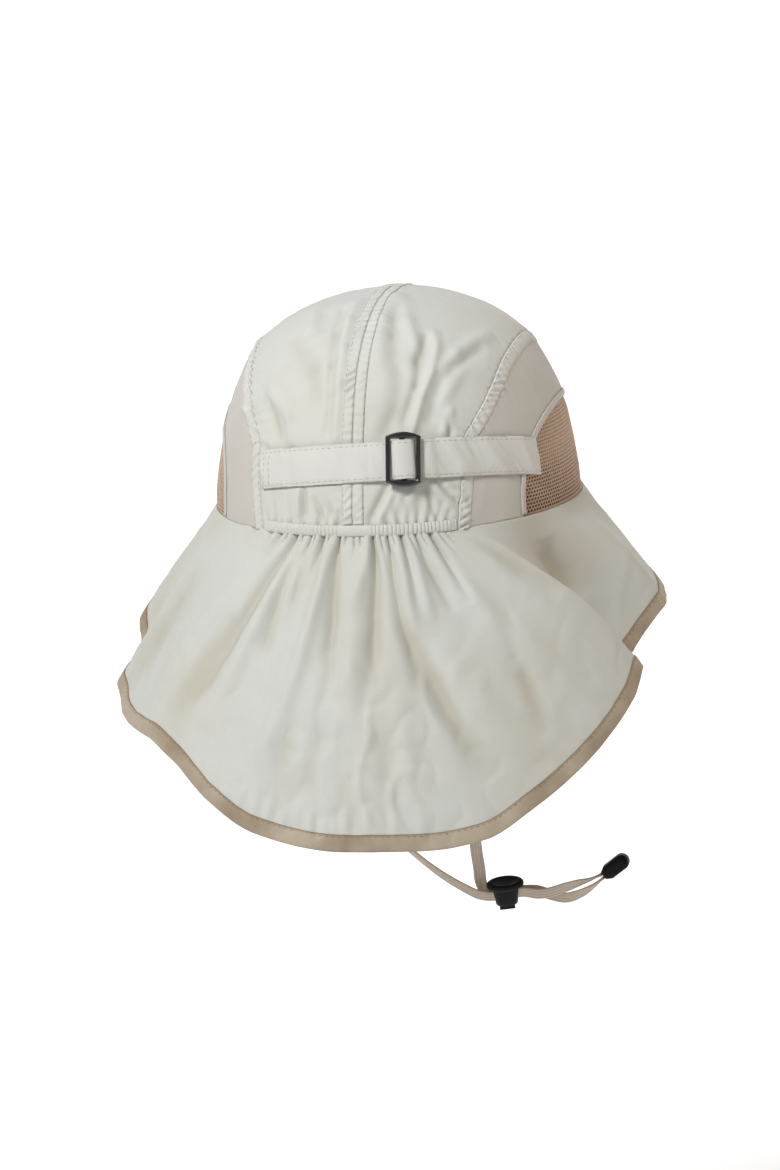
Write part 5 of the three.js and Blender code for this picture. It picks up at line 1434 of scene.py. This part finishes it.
lock = {
    "place": (-41.3 * mm, -20 * mm, -212.8 * mm), "turn": 193.0, "lean": -4.0, "tilt": 23.0,
    "headWidth": 19.5 * mm, "headDepth": 10.5 * mm, "headThickness": 3.4 * mm, "headSink": 0.3 * mm,
    # shares of the half width, and millimetres above the head's foot or its top
    "headFoot": [(0.8, 0), (0.9, 0.15), (0.97, 0.7), (1, 1.4)],
    "headDish": [(0.985, -1.2), (0.93, -0.5), (0.84, -0.12), (0.74, 0), (0.66, -0.05), (0.6, -0.35),
                 (0.4, -0.5), (0.05, -0.55)],
    "bodyWidth": 13.5 * mm, "bodyTaper": 0.86, "bodyDepth": 9 * mm, "bodyHeight": 9.6 * mm,
    "bodySquareness": 0.72, "slotDepth": 4 * mm, "slotHeight": 7.4 * mm, "wall": 1 * mm, "sharpFrom": 35.0,
    "buttonWidth": 8.6 * mm, "standOut": 3 * mm, "clearance": 0.3 * mm, "travel": 2.2 * mm,
    "prongShare": 0.7, "buttonBevel": 0.2 * mm,
    "endPlace": (-92.6 * mm, -20.2 * mm, -202.3 * mm), "endLength": 16 * mm, "endWidth": 8 * mm,
    "endThickness": 7.6 * mm, "endRise": 38.0, "endNeck": 0.55, "endShoulder": 0.2, "endBevel": 0.3,
}


def turnedMatrix(place, *turns):
    matrix = Matrix.Translation(place)
    for degrees, axis in turns:
        matrix = matrix @ Matrix.Rotation(math.radians(degrees), 4, axis)
    return matrix


lockMatrix = turnedMatrix(lock["place"], (lock["turn"], "Z"), (lock["lean"], "Y"), (lock["tilt"], "X"))


def turnedPost(name, rows, depthShare, squareness=1.0, sides=56):
    # an oval post from (half width, height) rows, closed at both ends; a lower squareness fills its corners
    turn = np.arange(sides) * 2 * np.pi / sides
    across = np.sign(np.cos(turn)) * np.abs(np.cos(turn)) ** squareness
    deep = np.sign(np.sin(turn)) * np.abs(np.sin(turn)) ** squareness * depthShare
    rings = np.array([np.stack([r * across, r * deep, z + 0 * turn], 1) for r, z in rows])
    return loopedPiece(name, rings, blackPlastic)


def cutBox(width, depth, low, high):
    corners = np.vstack([np.column_stack([square * [width / 2, depth / 2], [z] * 4]) for z in (low, high)])
    faces = [[3, 2, 1, 0], [4, 5, 6, 7]] + [[k, (k + 1) % 4, (k + 1) % 4 + 4, k + 4] for k in range(4)]
    return meshPiece("cutter", corners, faces, blackPlastic, flat=True)


def joinAndCut(base, steps):
    for other, operation in steps:
        change = base.modifiers.new("shape", "BOOLEAN")
        change.object, change.operation, change.solver = other, operation, "EXACT"
    bpy.context.view_layer.update()
    made = evaluated(base, base.name)
    for other, _ in steps:
        bpy.data.objects.remove(other)
    return made


def makeLock():
    bodyTop = lock["slotHeight"] / 2 + lock["wall"]
    bodyBottom = bodyTop - lock["bodyHeight"] - lock["wall"]
    headTop, headLow = bodyTop + lock["headThickness"], bodyTop - lock["headSink"]
    half, dished = lock["headWidth"] / 2, []
    for rows, level in ((lock["headFoot"], headLow), (lock["headDish"], headTop)):
        dished += [(half * share, level + high * mm) for share, high in rows]
    barrelHead = turnedPost("lock_barrel", dished, lock["headDepth"] / lock["headWidth"])
    half, low = lock["bodyWidth"] / 2, lock["bodyTaper"]
    body = [(half * low * 0.94, bodyBottom), (half * low, bodyBottom + 0.5 * mm),
            (half * (low + 0.04), bodyBottom + 3.5 * mm), (half, bodyTop - 1.5 * mm), (half, bodyTop)]
    barrelBody = turnedPost("lock_body", body, lock["bodyDepth"] / lock["bodyWidth"], lock["bodySquareness"])
    slot = cutBox(lock["headWidth"], lock["slotDepth"], -lock["slotHeight"] / 2, lock["slotHeight"] / 2)
    cavityDepth = lock["bodyDepth"] * lock["bodyTaper"] - lock["wall"] * 2
    cavity = cutBox(lock["buttonWidth"], cavityDepth, bodyBottom - mm, lock["slotHeight"] / 2)
    barrel = joinAndCut(barrelHead, [(barrelBody, "UNION"), (slot, "DIFFERENCE"), (cavity, "DIFFERENCE")])
    barrel.data.transform(lockMatrix)
    barrel.data.shade_smooth()
    barrel.data.set_sharp_from_angle(angle=math.radians(lock["sharpFrom"]))
    settle(barrel, blackPlastic, "cord_lock_barrel")

    footTop = -lock["slotHeight"] / 2 - lock["travel"] - lock["clearance"]
    footBottom = min(bodyBottom - lock["standOut"], footTop - lock["wall"] * 2)
    wide, deep = lock["buttonWidth"] - lock["clearance"] * 2, cavityDepth - lock["clearance"] * 2
    prongTop = footTop + lock["slotHeight"] * lock["prongShare"]
    foot = cutBox(wide, deep, footBottom, prongTop)
    foot.name = "lock_button_foot"
    button = joinAndCut(foot, [(cutBox(wide * 2, lock["slotDepth"], footTop, prongTop + mm), "DIFFERENCE")])
    button.data.transform(lockMatrix)
    edges = button.modifiers.new("soft edges", "BEVEL")
    edges.width, edges.segments, edges.limit_method = lock["buttonBevel"], 2, "ANGLE"
    settle(button, blackPlastic, "cord_lock_button", body="lock_button")
    return barrel, button


def makeCordEnd():
    wide, length, thick = lock["endWidth"] / 2, lock["endLength"], lock["endThickness"]
    turn = np.linspace(-np.pi / 2, np.pi / 2, 17)
    nose = np.stack([length - wide + wide * np.cos(turn), wide * np.sin(turn)], 1)
    neck, shoulder = wide * lock["endNeck"], length * lock["endShoulder"]
    outline = np.vstack([[(0, -neck), (shoulder, -wide)], nose, [(shoulder, wide), (0, neck)]])
    plate = outlineCurve("end_plate", [outline], thick / 2, thick * lock["endBevel"], 6)
    matrix = turnedMatrix(lock["endPlace"], (180, "Z"), (-lock["endRise"], "Y"), (90, "X"))
    return settle(placed(evaluated(plate, "cord_end_cap"), blackPlastic, matrix), blackPlastic, "cord_end")


lockPiece, buttonPiece = makeLock()
cordEndPiece = makeCordEnd()
print("lock and cord end")
